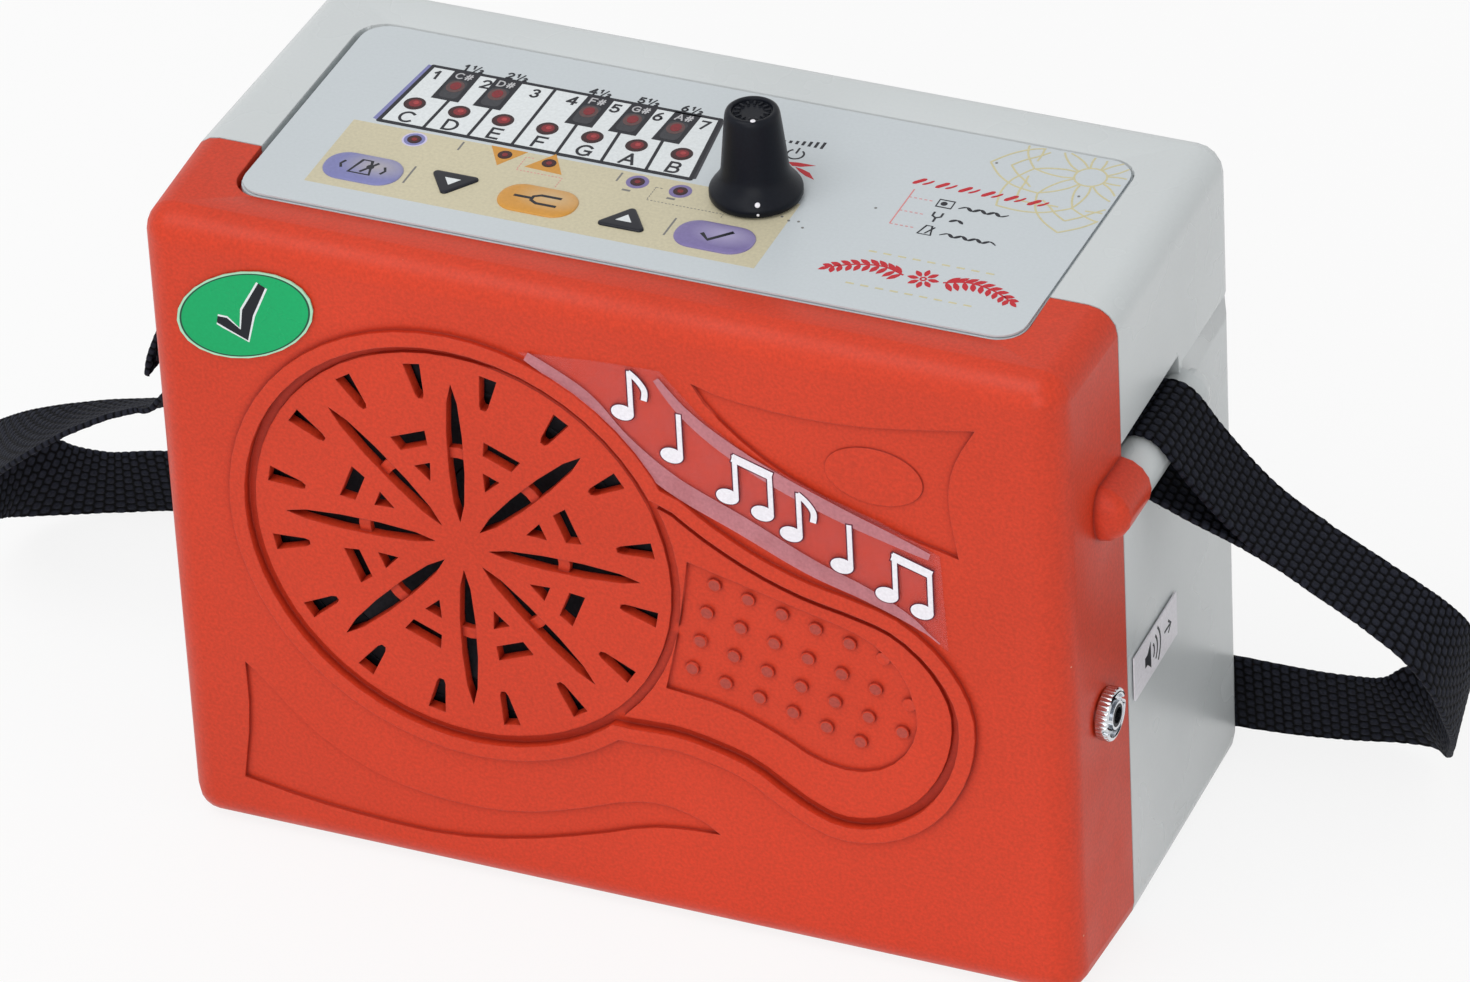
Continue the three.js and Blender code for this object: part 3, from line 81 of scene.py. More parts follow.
CASE_HEIGHT = 150.0
FRONT_Y = -CASE_DEPTH / 2
LABEL_Z = CASE_HEIGHT
CASE = "case"
# The depth of a sticker's face, which stands in front of the shell.
STICKER_DEPTH = -0.6
OVAL_CENTRE = (-75.8, 129.9)
OVAL_TURN = 25.0
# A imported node's doubled points lie closer than this, and its flat faces turn less than this many degrees.
WELD = 0.002
FLAT_DEGREES = 0.6
# The thickness of a coat of ink, and the steps that keep crossing shapes of one print apart.
COAT = 0.02
OVERLAP_STEP = 0.0012
OVERLAP_LEVELS = 16
# The weave's bumps across and along the strap, and the strap's width that one unit of its map stands for.
WEAVE_COLUMN = 2.33125
WEAVE_ROW = 2.0
FLOW_UNIT = 100.0

Piece = bpy.types.Object
Tree = bpy.types.NodeTree
Surface = bpy.types.Material
Socket = bpy.types.NodeSocket
Point = tuple[float, float]
Light = tuple[float, float, float, float]
Share = tuple[float, float, float, float]
Size = tuple[float, float, float]

log = logging.getLogger("shruti_box")


def place(x: float, depth: float, z: float) -> Vector:
    """Gives a point in metres from its width, depth behind the front face and height in millimetres."""
    return Vector((x, FRONT_Y + depth, z)) * MM


# ---- Colours and shader nodes ----


def linear(code: str) -> Light:
    """Turns six hexadecimal digits into linear red, green, blue and one for alpha."""
    parts = [int(code[i:i + 2], 16) / 255 for i in (0, 2, 4)]
    light = [c / 12.92 if c <= 0.04045 else ((c + 0.055) / 1.055) ** 2.4 for c in parts]
    return light[0], light[1], light[2], 1.0


class Weaver:
    """Adds and joins the nodes of one material or node group."""

    def __init__(self, tree: Tree) -> None:
        """Keeps the tree that the nodes go into."""
        self.tree = tree
        self.column = 0

    def node(self, kind: str, **settings: object) -> bpy.types.Node:
        """Adds a node.

        Args:
            kind: The node's type name.
            settings: Properties of the node, by name.

        Returns:
            The new node.
        """
        made = self.tree.nodes.new(kind)
        for key, value in settings.items():
            setattr(made, key, value)
        self.column += 1
        made.location = (self.column % 8 * 220, -(self.column // 8) * 260)
        return made

    def feed(self, value: object, socket: Socket) -> None:
        """Joins another node's output to a socket, or writes a plain value on it.

        Args:
            value: A node's output, a plain value, or nothing.
            socket: The socket that takes it.
        """
        if isinstance(value, bpy.types.NodeSocket):
            self.tree.links.new(value, socket)
        elif value is not None:
            socket.default_value = value

    def math(self, operation: str, first: object, second: object = None, third: object = None) -> Socket:
        """Adds a Math node and gives its result.

        Args:
            operation: What it works out.
            first, second, third: Its values.

        Returns:
            The result.
        """
        made = self.node("ShaderNodeMath", operation=operation)
        for value, socket in zip((first, second, third), made.inputs):
            self.feed(value, socket)
        return made.outputs[0]

    def blend(self, share: object, under: object, over: object, mode: str = "MIX") -> Socket:
        """Mixes two colours by a share and gives the result.

        Args:
            share: How much of the upper colour shows.
            under: The lower colour.
            over: The upper colour.
            mode: How they mix.

        Returns:
            The mixed colour.
        """
        made = self.node("ShaderNodeMix", data_type="RGBA", blend_type=mode)
        self.feed(share, made.inputs[0])
        self.feed(under, made.inputs[6])
        self.feed(over, made.inputs[7])
        return made.outputs[2]

    def span(self, value: object, low: float, high: float, to_low: float = 0.0,
             to_high: float = 1.0) -> Socket:
        """Maps a range of values onto another, clamped.

        Args:
            value: The value.
            low: Where the range starts.
            high: Where it ends.
            to_low: What its start becomes.
            to_high: What its end becomes.

        Returns:
            The mapped value.
        """
        made = self.node("ShaderNodeMapRange")
        for item, socket in zip((value, low, high, to_low, to_high), made.inputs):
            self.feed(item, socket)
        return made.outputs[0]

    def noise(self, vector: object, scale: object, detail: float = 3.0, roughness: float = 0.55) -> Socket:
        """Adds a noise texture and gives its value.

        Args:
            vector: The place.
            scale: Its waves to a metre.
            detail: Its finer layers.
            roughness: How strong those are.

        Returns:
            The noise, 0 to 1.
        """
        made = self.node("ShaderNodeTexNoise")
        self.feed(vector, made.inputs["Vector"])
        self.feed(scale, made.inputs["Scale"])
        self.feed(detail, made.inputs["Detail"])
        self.feed(roughness, made.inputs["Roughness"])
        return made.outputs[0]

    def group(self, tree: Tree, **values: object) -> bpy.types.Node:
        """Adds a node group and feeds its named inputs.

        Args:
            tree: The group.
            values: Its inputs, with an underscore for each space.

        Returns:
            The group's node.
        """
        made = self.node("ShaderNodeGroup", node_tree=tree)
        for key, value in values.items():
            self.feed(value, made.inputs[key.replace("_", " ")])
        return made


class GroupWeaver(Weaver):
    """Weaves one shader node group with named sockets."""

    def __init__(self, name: str, inputs: dict[str, tuple[str, object]], outputs: dict[str, str]) -> None:
        """Starts the group.

        Args:
            name: The group's name.
            inputs: Kind and plain value of each input, by name.
            outputs: Kind of each output, by name.
        """
        super().__init__(bpy.data.node_groups.new(name, "ShaderNodeTree"))
        sockets = self.tree.interface
        for key, (kind, value) in inputs.items():
            socket = sockets.new_socket(name=key, in_out="INPUT", socket_type=f"NodeSocket{kind}")
            if value is not None:
                socket.default_value = value
        for key, kind in outputs.items():
            sockets.new_socket(name=key, in_out="OUTPUT", socket_type=f"NodeSocket{kind}")
        self.taken = list(self.node("NodeGroupInput").outputs)[:len(inputs)]
        self.given = self.node("NodeGroupOutput").inputs

    def give(self, **values: Socket) -> Tree:
        """Feeds the group's outputs and gives the group."""
        for key, value in values.items():
            self.feed(value, self.given[key])
        return self.tree


class Effects:
    """The effects that several materials share, each a node group that is built once."""

    def __init__(self) -> None:
        """Builds the groups."""
        self.grain = self._grain()
        self.drift = self._drift()
        self.specks = self._specks()
        self.wear = self._wear()
        self.weave = self._weave()

    @staticmethod
    def _grain() -> Tree:
        """Makes the spark finish of a moulding: a fine height and a mask for gloss.

        Returns:
            The group.
        """
        weave = GroupWeaver(
            "mould_grain", {"Vector": ("Vector", None), "Size": ("Float", 0.5), "Wave": ("Float", 0.3)},
            {"Height": "Float", "Gloss": "Float"})
        where, size, wave = weave.taken
        fine = weave.noise(where, weave.math("DIVIDE", 1000.0, size), 2.0)
        broad = weave.noise(where, 45.0, 2.0)
        height = weave.math("ADD", fine, weave.math("MULTIPLY", broad, wave))
        return weave.give(Height=height, Gloss=weave.span(broad, 0.3, 0.7))

    @staticmethod
    def _drift() -> Tree:
        """Makes slow changes of tone, with a fine mottle over them.

        Returns:
            The group.
        """
        weave = GroupWeaver(
            "tone_drift", {"Vector": ("Vector", None), "Colour": ("Color", (0.5, 0.5, 0.5, 1.0)),
                           "Spread": ("Float", 0.1), "Mottle": ("Float", 0.05)}, {"Colour": "Color"})
        where, colour, spread, mottle = weave.taken
        slow = weave.span(weave.noise(where, 14.0, 3.0), 0.3, 0.7, -1.0, 1.0)
        quick = weave.span(weave.noise(where, 1400.0, 2.0), 0.3, 0.7, -1.0, 1.0)
        shift = weave.math("ADD", weave.math("MULTIPLY", slow, spread), weave.math("MULTIPLY", quick, mottle))
        scale = weave.node("ShaderNodeVectorMath", operation="SCALE")
        weave.feed(colour, scale.inputs[0])
        weave.feed(weave.math("ADD", 1.0, shift), scale.inputs["Scale"])
        return weave.give(Colour=scale.outputs[0])

    @staticmethod
    def _specks() -> Tree:
        """Makes a mask of small stray specks.

        Returns:
            The group.
        """
        weave = GroupWeaver(
            "stray_specks", {"Vector": ("Vector", None), "Pitch": ("Float", 12.0), "Radius": ("Float", 0.25),
                             "Share": ("Float", 0.4)}, {"Mask": "Float"})
        where, pitch, radius, share = weave.taken
        cells = weave.node("ShaderNodeTexVoronoi")
        weave.feed(where, cells.inputs["Vector"])
        weave.feed(weave.math("DIVIDE", 1000.0, pitch), cells.inputs["Scale"])
        reach = weave.math("MULTIPLY", cells.outputs["Distance"], pitch)
        spread = weave.node("ShaderNodeSeparateColor")
        weave.feed(cells.outputs["Color"], spread.inputs[0])
        chosen = weave.math("LESS_THAN", spread.outputs[0], share)
        size = weave.math("MULTIPLY", radius, weave.math("ADD", 0.4, spread.outputs[1]))
        inside = weave.math("LESS_THAN", reach, size)
        return weave.give(Mask=weave.math("MULTIPLY", inside, chosen))

    @staticmethod
    def _wear() -> Tree:
        """Makes a broken mask along edges, from the plain normal and the rounded one.

        Returns:
            The group.
        """
        weave = GroupWeaver(
            "edge_rub", {"Vector": ("Vector", None), "Rounded": ("Vector", None), "Amount": ("Float", 0.5)},
            {"Mask": "Float"})
        where, rounded, amount = weave.taken
        shape = weave.node("ShaderNodeNewGeometry")
        turn = weave.node("ShaderNodeVectorMath", operation="DOT_PRODUCT")
        weave.feed(shape.outputs["Normal"], turn.inputs[0])
        weave.feed(rounded, turn.inputs[1])
        edge = weave.span(turn.outputs["Value"], 0.995, 0.9)
        broken = weave.span(weave.noise(where, 420.0, 4.0), 0.4, 0.62)
        return weave.give(Mask=weave.math("MULTIPLY", weave.math("MULTIPLY", edge, broken), amount))

    @staticmethod
    def _weave() -> Tree:
        """Makes the brick like bumps of woven webbing from places across and along it in millimetres, and a
        mask of the gaps between them for painted shade.

        Returns:
            The group.
        """
        weave = GroupWeaver(
            "webbing_weave", {"Across": ("Float", 0.0), "Along": ("Float", 0.0),
                              "Column": ("Float", WEAVE_COLUMN), "Row": ("Float", WEAVE_ROW)},
            {"Height": "Float", "Gap": "Float"})
        sideways, run, column, row = weave.taken
        along = weave.math("DIVIDE", run, row)
        odd = weave.math("MULTIPLY", weave.math("PINGPONG", weave.math("FLOOR", along), 1.0), 0.5)
        across = weave.math("ADD", weave.math("DIVIDE", sideways, column), odd)
        rise = weave.math("SINE", weave.math("MULTIPLY", weave.math("FRACT", across), math.pi))
        swell = weave.math("SINE", weave.math("MULTIPLY", weave.math("FRACT", along), math.pi))
        bump = weave.math("POWER", weave.math("MULTIPLY", rise, swell), 0.6)
        # The gap mask is used for painted shade between the bumps.
        return weave.give(Height=bump, Gap=weave.span(bump, 0.75, 0.3))


class Dye(Enum):
    """The colours of the object, as written."""

    ORANGE = "CD3D22"
    CREAM = "D0D5D6"
    LABEL = "CBD2D6"
    SAND = "CEC6AA"
    WHITE_KEY = "E2E7E9"
    NAVY = "14161F"
    LILAC = "7E80B4"
    APRICOT = "CF9440"
    VIOLET = "7D72A4"
    RED = "C0202C"
    GOLD = "CFC79E"
    RIM_RED = "2B0A10"
    GLOW_RED = "7E1B24"
    CHERRY = "A8383C"
    SMOKE = "33343A"
    GREY = "7B7A78"
    WHITE = "F0EEF4"
    GREEN = "06A763"
    GREEN_RIM = "A9DDBD"
    BLACK = "1B1C22"
    KNOB = "10131B"
    YARN = "23252E"
    HAZE = "D38C94"
    DUSK = "3A0C11"
    TAN = "5A3F3F"
    ASH = "BDBDC0"
    PALE_LILAC = "CFC8E6"
    CORAL = "D98A8A"
    PLUM = "5A1630"
    BRICK = "AE463A"


class SurfaceWeaver(Weaver):
    """Weaves one material round its Principled shader."""

    def __init__(self, name: str, effects: Effects | None = None) -> None:
        """Starts a material.

        Args:
            name: The material's name.
            effects: The shared node groups, for a material that uses them.
        """
        self.surface = bpy.data.materials.new(name)
        self.surface.use_nodes = True
        super().__init__(self.surface.node_tree)
        self.effects = effects
        self.shader = next(n for n in self.tree.nodes if n.type == "BSDF_PRINCIPLED")
        self.shader.location = (1800, 300)

    def on(self, **values: object) -> None:
        """Feeds the shader's sockets, named with an underscore for each space."""
        for key, value in values.items():
            self.feed(value, self.shader.inputs[key.replace("_", " ")])

    def tone(self, where: Socket, colour: Light, spread: float, mottle: float) -> Socket:
        """Gives a colour that drifts slowly and is finely mottled."""
        drift = self.group(self.effects.drift, Vector=where, Colour=colour, Spread=spread, Mottle=mottle)
        return drift.outputs["Colour"]

    def bump(self, height: Socket, strength: float, reach: float, normal: Socket | None = None) -> Socket:
        """Turns a height into a normal.

        Args:
            height: The height over the surface.
            strength: How strongly it shows.
            reach: The height in millimetres.
            normal: The normal that it starts from, if not the surface's own.

        Returns:
            The new normal.
        """
        made = self.node("ShaderNodeBump")
        values = {"Strength": strength, "Distance": reach * MM, "Height": height, "Normal": normal}
        for key, value in values.items():
            self.feed(value, made.inputs[key])
        return made.outputs[0]

    def oval_reach(self, place_on: Socket, across: str, up: str, half: Point) -> Socket:
        """Measures how far a place lies from the middle of an oval.

        Args:
            place_on: The place, from the oval's middle.
            across: The axis along the oval.
            up: The axis over it.
            half: Half of its length and of its height in millimetres.

        Returns:
            0 in the middle and 1 on the oval's edge.
        """
        parts = self.node("ShaderNodeSeparateXYZ")
        self.feed(place_on, parts.inputs[0])
        u = self.math("DIVIDE", parts.outputs[across], half[0] * MM)
        v = self.math("DIVIDE", parts.outputs[up], half[1] * MM)
        return self.math("SQRT", self.math("ADD", self.math("MULTIPLY", u, u), self.math("MULTIPLY", v, v)))


class Coating(ABC):
    """A kind of finish, which paints one material."""

    def build(self, name: str, effects: Effects) -> Surface:
        """Makes the material under a name, with the shared node groups."""
        weave = SurfaceWeaver(name, effects)
        self.paint(weave, weave.node("ShaderNodeTexCoord").outputs["Object"])
        return weave.surface

    @abstractmethod
    def paint(self, weave: SurfaceWeaver, where: Socket) -> None:
        """Joins the finish's nodes to the shader.

        Args:
            weave: The material's weaver.
            where: The place on the object.
        """


@dataclass(frozen=True)
class Moulded(Coating):
    """Moulded plastic with a spark grain, slow changes of tone, specks, rubbed edges and painted shade in its
    creases.
    """

    dye: Dye
    roughness: float = 0.42
    grain: float = 0.6
    bump: float = 0.12
    spread: float = 0.05
    mottle: float = 0.03
    specks: float = 0.0
    speck_dye: Dye = Dye.WHITE
    wear: float = 0.25
    round_mm: float = 0.35
    coat: float = 0.0
    specular: float = 0.3
    # Painted shade in creases and hollows: its strength, how far the occlusion looks, and the share of each
    # colour kept where it is darkest.
    crease_shade: float = 0.0
    crease_shade_reach: float = 2.2
    crease_shade_shares: tuple[float, float, float] = (0.42, 0.22, 0.16)
    rub_gain: float = 1.35
    rub_lift: float = 0.03

    def paint(self, weave: SurfaceWeaver, where: Socket) -> None:
        """Paints the grain, the rubbed edges, the specks and the painted shade that darkens the creases.

        Args:
            weave: The material's weaver.
            where: The place on the object.
        """
        effects, base = weave.effects, linear(self.dye.value)
        colour = weave.tone(where, base, self.spread, self.mottle)
        grain = weave.group(effects.grain, Vector=where, Size=self.grain)
        rounded = weave.node("ShaderNodeBevel", samples=4)
        rounded.inputs["Radius"].default_value = self.round_mm * MM
        rub = weave.group(effects.wear, Vector=where, Rounded=rounded.outputs[0], Amount=self.wear)
        pale = tuple(min(1.0, c * self.rub_gain + self.rub_lift) for c in base[:3]) + (1.0,)
        tint = weave.blend(rub.outputs["Mask"], colour, pale)
        if self.specks > 0:
            specks = weave.group(effects.specks, Vector=where, Pitch=7.0, Radius=0.16, Share=self.specks)
            tint = weave.blend(weave.math("MULTIPLY", specks.outputs["Mask"], 0.45), tint,
                               linear(self.speck_dye.value))
        # Painted shade: where ambient occlusion finds a crease or hollow, the colour darkens towards a deep
        # tone of itself.
        if self.crease_shade > 0:
            crease_occlusion = weave.node("ShaderNodeAmbientOcclusion", samples=8, only_local=True)
            crease_occlusion.inputs["Distance"].default_value = self.crease_shade_reach * MM
            deep = tuple(c * share for c, share in zip(base[:3], self.crease_shade_shares)) + (1.0,)
            tint = weave.blend(weave.span(crease_occlusion.outputs["AO"], 0.9, 0.45, 0.0, self.crease_shade), tint, deep)
        gloss = weave.span(grain.outputs["Gloss"], 0.0, 1.0, self.roughness - 0.05, self.roughness + 0.06)
        normal = weave.bump(grain.outputs["Height"], self.bump, 0.05, rounded.outputs[0])
        weave.on(Base_Color=tint, Roughness=gloss, Normal=normal, Coat_Weight=self.coat, Coat_Roughness=0.25,
                 Specular_IOR_Level=self.specular)


@dataclass(frozen=True)
class Ink(Coating):
    """Printing ink or sheet film: an even colour with a faint stipple."""

    dye: Dye
    roughness: float = 0.38
    spread: float = 0.04
    mottle: float = 0.06

    def paint(self, weave: SurfaceWeaver, where: Socket) -> None:
        """Paints the even colour and its stipple.

        Args:
            weave: The material's weaver.
            where: The place on the object.
        """
        grain = weave.group(weave.effects.grain, Vector=where, Size=0.8)
        gloss = weave.span(grain.outputs["Gloss"], 0.0, 1.0, self.roughness - 0.06, self.roughness + 0.06)
        weave.on(Base_Color=weave.tone(where, linear(self.dye.value), self.spread, self.mottle),
                 Roughness=gloss, Specular_IOR_Level=0.25)


@dataclass(frozen=True)
class KeyFilm(Coating):
    """The printed film over a key: its colour grows pale towards a spot beside the middle."""

    dye: Dye
    centre: Point
    pale: Dye = Dye.SAND
    aside: Point = (2.4, 1.2)
    half: Point = (7.5, 4.2)

    def paint(self, weave: SurfaceWeaver, where: Socket) -> None:
        """Paints the film's colour and its pale spot.

        Args:
            weave: The material's weaver.
            where: The place on the object.
        """
        shift = weave.node("ShaderNodeMapping", vector_type="POINT")
        middle = place(self.centre[0] + self.aside[0], self.centre[1] + self.aside[1], 0.0)
        shift.inputs["Location"].default_value = (-middle.x, -middle.y, 0.0)
        weave.feed(where, shift.inputs["Vector"])
        fade = weave.span(weave.oval_reach(shift.outputs[0], "X", "Y", self.half), 0.0, 1.1, 0.55, 0.0)
        base = weave.tone(where, linear(self.dye.value), 0.05, 0.05)
        weave.on(Base_Color=weave.blend(fade, base, linear(self.pale.value)),
                 Roughness=weave.span(weave.noise(where, 900.0), 0.3, 0.7, 0.3, 0.42), Specular_IOR_Level=0.3)


@dataclass(frozen=True)
class Metal(Coating):
    """Plated or bare metal with a fine brushed unevenness and small dull marks."""

    tone: str
    roughness: float = 0.25
    streak: float = 0.1

    def paint(self, weave: SurfaceWeaver, where: Socket) -> None:
        """Paints the metal.

        Args:
            weave: The material's weaver.
            where: The place on the object.
        """
        rough = weave.span(weave.noise(where, 1500.0, 4.0), 0.3, 0.7, self.roughness - self.streak / 2,
                           self.roughness + self.streak)
        weave.on(Base_Color=weave.tone(where, linear(self.tone), 0.05, 0.04), Metallic=1.0, Roughness=rough,
                 Normal=weave.bump(weave.noise(where, 2400.0, 2.0), 0.15, 0.02))


@dataclass(frozen=True)
class Webbing(Coating):
    """Black woven webbing, read from the strap's own map of places across and along it."""

    dye: Dye = Dye.YARN
    # The near black colour of the painted shade in the gaps of the weave.
    gap: str = "020204"

    def paint(self, weave: SurfaceWeaver, where: Socket) -> None:
        """Paints the yarn, the painted shade that darkens the gaps of the weave, and its fuzz.

        Args:
            weave: The material's weaver.
            where: The place on the object.
        """
        parts = weave.node("ShaderNodeSeparateXYZ")
        weave.feed(weave.node("ShaderNodeUVMap", uv_map="flow").outputs[0], parts.inputs[0])
        across = weave.math("MULTIPLY", parts.outputs["X"], FLOW_UNIT)
        along = weave.math("MULTIPLY", parts.outputs["Y"], 1.0 / MM)
        bricks = weave.group(weave.effects.weave, Across=across, Along=along, Column=WEAVE_COLUMN,
                             Row=WEAVE_ROW)
        fuzz = weave.noise(where, 2600.0, 3.0)
        yarn = weave.tone(where, linear(self.dye.value), 0.12, 0.3)
        height = weave.math("ADD", weave.math("MULTIPLY", bricks.outputs["Height"], 0.5), fuzz)
        # The gaps between the bumps are darkened to near black: painted shade.
        weave.on(Base_Color=weave.blend(bricks.outputs["Gap"], yarn, linear(self.gap)),
                 Roughness=weave.span(fuzz, 0.3, 0.7, 0.55, 0.75), Normal=weave.bump(height, 0.9, 0.15),
                 Specular_IOR_Level=0.06)


@dataclass(frozen=True)
class Film(Coating):
    """Clear or milky self adhesive film."""

    dye: Dye
    cover: float
    patchy: float = 0.0

    def paint(self, weave: SurfaceWeaver, where: Socket) -> None:
        """Paints the film and how much it covers.

        Args:
            weave: The material's weaver.
            where: The place on the object.
        """
        least = self.cover * (1 - self.patchy)
        patch = weave.span(weave.noise(where, 160.0, 4.0), 0.3, 0.7, least, self.cover)
        weave.on(Base_Color=weave.tone(where, linear(self.dye.value), 0.08, 0.1), Alpha=patch, Roughness=0.3,
                 Specular_IOR_Level=0.25)


@dataclass(frozen=True)
class OvalSticker(Coating):
    """A glossy oval sticker with a pale rim, a dark edge and an even middle."""

    dye: Dye = Dye.GREEN
    rim: Dye = Dye.GREEN_RIM
    edge: str = "1B4A36"
    half: Point = (16.4, 9.7)

    def paint(self, weave: SurfaceWeaver, where: Socket) -> None:
        """Paints the rings of the sticker.

        Args:
            weave: The material's weaver.
            where: The place on the object.
        """
        shift = weave.node("ShaderNodeVectorMath", operation="SUBTRACT")
        weave.feed(where, shift.inputs[0])
        shift.inputs[1].default_value = (OVAL_CENTRE[0] * MM, 0.0, OVAL_CENTRE[1] * MM)
        spin = weave.node("ShaderNodeVectorRotate", rotation_type="AXIS_ANGLE")
        weave.feed(shift.outputs[0], spin.inputs["Vector"])
        spin.inputs["Axis"].default_value = (0.0, 1.0, 0.0)
        spin.inputs["Angle"].default_value = math.radians(OVAL_TURN)
        reach = weave.oval_reach(spin.outputs[0], "X", "Z", self.half)
        body = weave.tone(where, linear(self.dye.value), 0.08, 0.05)
        tint = weave.blend(weave.span(reach, 0.925, 0.935), body, linear(self.edge))
        tint = weave.blend(weave.span(reach, 0.955, 0.962), tint, linear(self.rim.value))
        weave.on(Base_Color=tint, Roughness=weave.span(weave.noise(where, 120.0), 0.3, 0.7, 0.24, 0.36),
                 Specular_IOR_Level=0.25)


class Finish(Enum):
    """Every finish on the object."""

    # The orange shell gets painted shade in its creases and hollows.
    ORANGE_SHELL = Moulded(Dye.ORANGE, grain=0.5, bump=0.35, spread=0.06, mottle=0.11, specks=0.14,
                           speck_dye=Dye.SAND, wear=0.30, round_mm=0.5, specular=0.25, crease_shade=0.85)
    CREAM_SHELL = Moulded(Dye.CREAM, roughness=0.28, grain=0.7, bump=0.10, spread=0.03, mottle=0.012,
                          specks=0.03, speck_dye=Dye.GREY, wear=0.15, round_mm=0.4, coat=0.15)
    PANEL_PLATE = Moulded(Dye.LABEL, roughness=0.5, grain=0.8, bump=0.1)
    LABEL_FILM = Ink(Dye.LABEL, 0.34, 0.02, 0.02)
    SAND_INK = Ink(Dye.SAND)
    WHITE_INK = Ink(Dye.WHITE_KEY)
    NAVY_INK = Ink(Dye.NAVY)
    LILAC_INK = Ink(Dye.LILAC)
    APRICOT_INK = Ink(Dye.APRICOT)
    VIOLET_INK = Ink(Dye.VIOLET)
    RED_INK = Ink(Dye.RED)
    GOLD_INK = Ink(Dye.GOLD)
    GREY_INK = Ink(Dye.GREY)
    RIM_INK = Ink(Dye.RIM_RED, 0.22)
    GLOW_INK = Ink(Dye.GLOW_RED, 0.22, 0.1, 0.15)
    # A brighter red spot painted as a highlight in each note window.
    WINDOW_HIGHLIGHT_INK = Ink(Dye.CHERRY, 0.22, 0.1, 0.15)
    SMOKE_INK = Ink(Dye.SMOKE, 0.25, 0.1, 0.15)
    DUSK_INK = Ink(Dye.DUSK, 0.25, 0.1, 0.15)
    TAN_INK = Ink(Dye.TAN, 0.3, 0.1, 0.15)
    ASH_INK = Ink(Dye.ASH, 0.3)
    PALE_LILAC_INK = Ink(Dye.PALE_LILAC, 0.3)
    CORAL_INK = Ink(Dye.CORAL, 0.3)
    SNOW_INK = Ink(Dye.WHITE, 0.3)
    PLUM_INK = Ink(Dye.PLUM, 0.3)
    PIP_TOP = Ink(Dye.BRICK, 0.45, 0.1, 0.15)
    METRONOME_KEY = KeyFilm(Dye.LILAC, (-61.5, 28.3))
    FINE_TUNE_KEY = KeyFilm(Dye.APRICOT, (-23.4, 28.8))
    SELECT_KEY = KeyFilm(Dye.VIOLET, (15.3, 28.0), Dye.PALE_LILAC)
    ARROW_KEY = Ink(Dye.NAVY, 0.35)
    KNOB = Moulded(Dye.KNOB, roughness=0.36, grain=0.45, bump=0.3, spread=0.08, mottle=0.10, specks=0.3,
                   speck_dye=Dye.ASH, wear=0.35, round_mm=0.3, specular=0.14)
    BLACK_PLASTIC = Moulded(Dye.BLACK, roughness=0.45, grain=0.5, bump=0.2, mottle=0.04, wear=0.2,
                            round_mm=0.2, specular=0.2)
    NYLON = Moulded(Dye.WHITE_KEY, roughness=0.4, grain=0.5, bump=0.1)
    BOARD = Moulded(Dye.GREEN, roughness=0.35, grain=1.5, bump=0.2, spread=0.3, mottle=0.1, wear=0.1,
                    round_mm=0.1, coat=0.4)
    LAMP = Ink(Dye.CHERRY, 0.18, 0.1, 0.05)
    STEEL = Metal("B4B7BB", 0.3)
    ZINC = Metal("8C8F94", 0.38)
    CHROME = Metal("D5D8DC", 0.12, 0.06)
    COPPER = Metal("B5703C", 0.32)
    PAPER = Moulded(Dye.SMOKE, roughness=0.9, grain=0.9, bump=0.9, spread=0.15, mottle=0.2, wear=0.0,
                    round_mm=0.2)
    RUBBER = Moulded(Dye.BLACK, roughness=0.8, bump=0.3, mottle=0.05, wear=0.0, round_mm=0.2)
    CELL_WRAP = Moulded(Dye.SMOKE, roughness=0.3, grain=2.0, bump=0.05, spread=0.1, mottle=0.02, wear=0.3,
                        round_mm=0.3, coat=0.3)
    LEAD_RUBBER = Moulded(Dye.RED, roughness=0.5, bump=0.1)
    WEBBING = Webbing()
    THREAD = Moulded(Dye.SMOKE, roughness=0.8, grain=0.3, bump=0.6, spread=0.1, mottle=0.2, wear=0.0,
                     round_mm=0.1)
    GREEN_STICKER = OvalSticker()
    WHITE_STICKER = Ink(Dye.WHITE, 0.35)
    CLEAR_FILM = Film(Dye.HAZE, 0.1, 0.5)
    MILKY_FILM = Film(Dye.HAZE, 0.74, 0.25)


class Finishes:
    """Makes each material once, when it is first asked for."""

    def __init__(self) -> None:
        """Starts with the shared effects and no material."""
        self.effects = Effects()
        self.made: dict[Finish, Surface] = {}

    def get(self, finish: Finish) -> Surface:
        """Gives the material of a finish, which is made at the first call."""
        if finish not in self.made:
            self.made[finish] = finish.value.build(finish.name.lower(), self.effects)
        return self.made[finish]

    def dress(self, piece: Piece, finish: Finish) -> Piece:
        """Gives a piece one finish all over."""
        piece.data.materials.clear()
        piece.data.materials.append(self.get(finish))
        return piece

    def fit(self, piece: Piece, finish: Finish, body: str, slot: str, *replaced: str) -> Piece:
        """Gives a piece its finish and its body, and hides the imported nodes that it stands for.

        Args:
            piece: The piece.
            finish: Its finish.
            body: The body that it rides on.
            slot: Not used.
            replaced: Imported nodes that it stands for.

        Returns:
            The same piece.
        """
        self.dress(piece, finish)
        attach(piece, body)
        if replaced:
            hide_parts(*replaced)
        log.info("%s rides on %s", piece.name, body)
        return piece


# ---- Modelling by hand, in small steps ----


def rest() -> None:
    """Leaves edit mode and deselects everything."""
    if bpy.context.object and bpy.context.object.mode != "OBJECT":
        bpy.ops.object.mode_set(mode="OBJECT")
    bpy.ops.object.select_all(action="DESELECT")


def pick(piece: Piece) -> None:
    """Selects one piece alone and makes it the active one."""
    rest()
    piece.select_set(True)
    bpy.context.view_layer.objects.active = piece


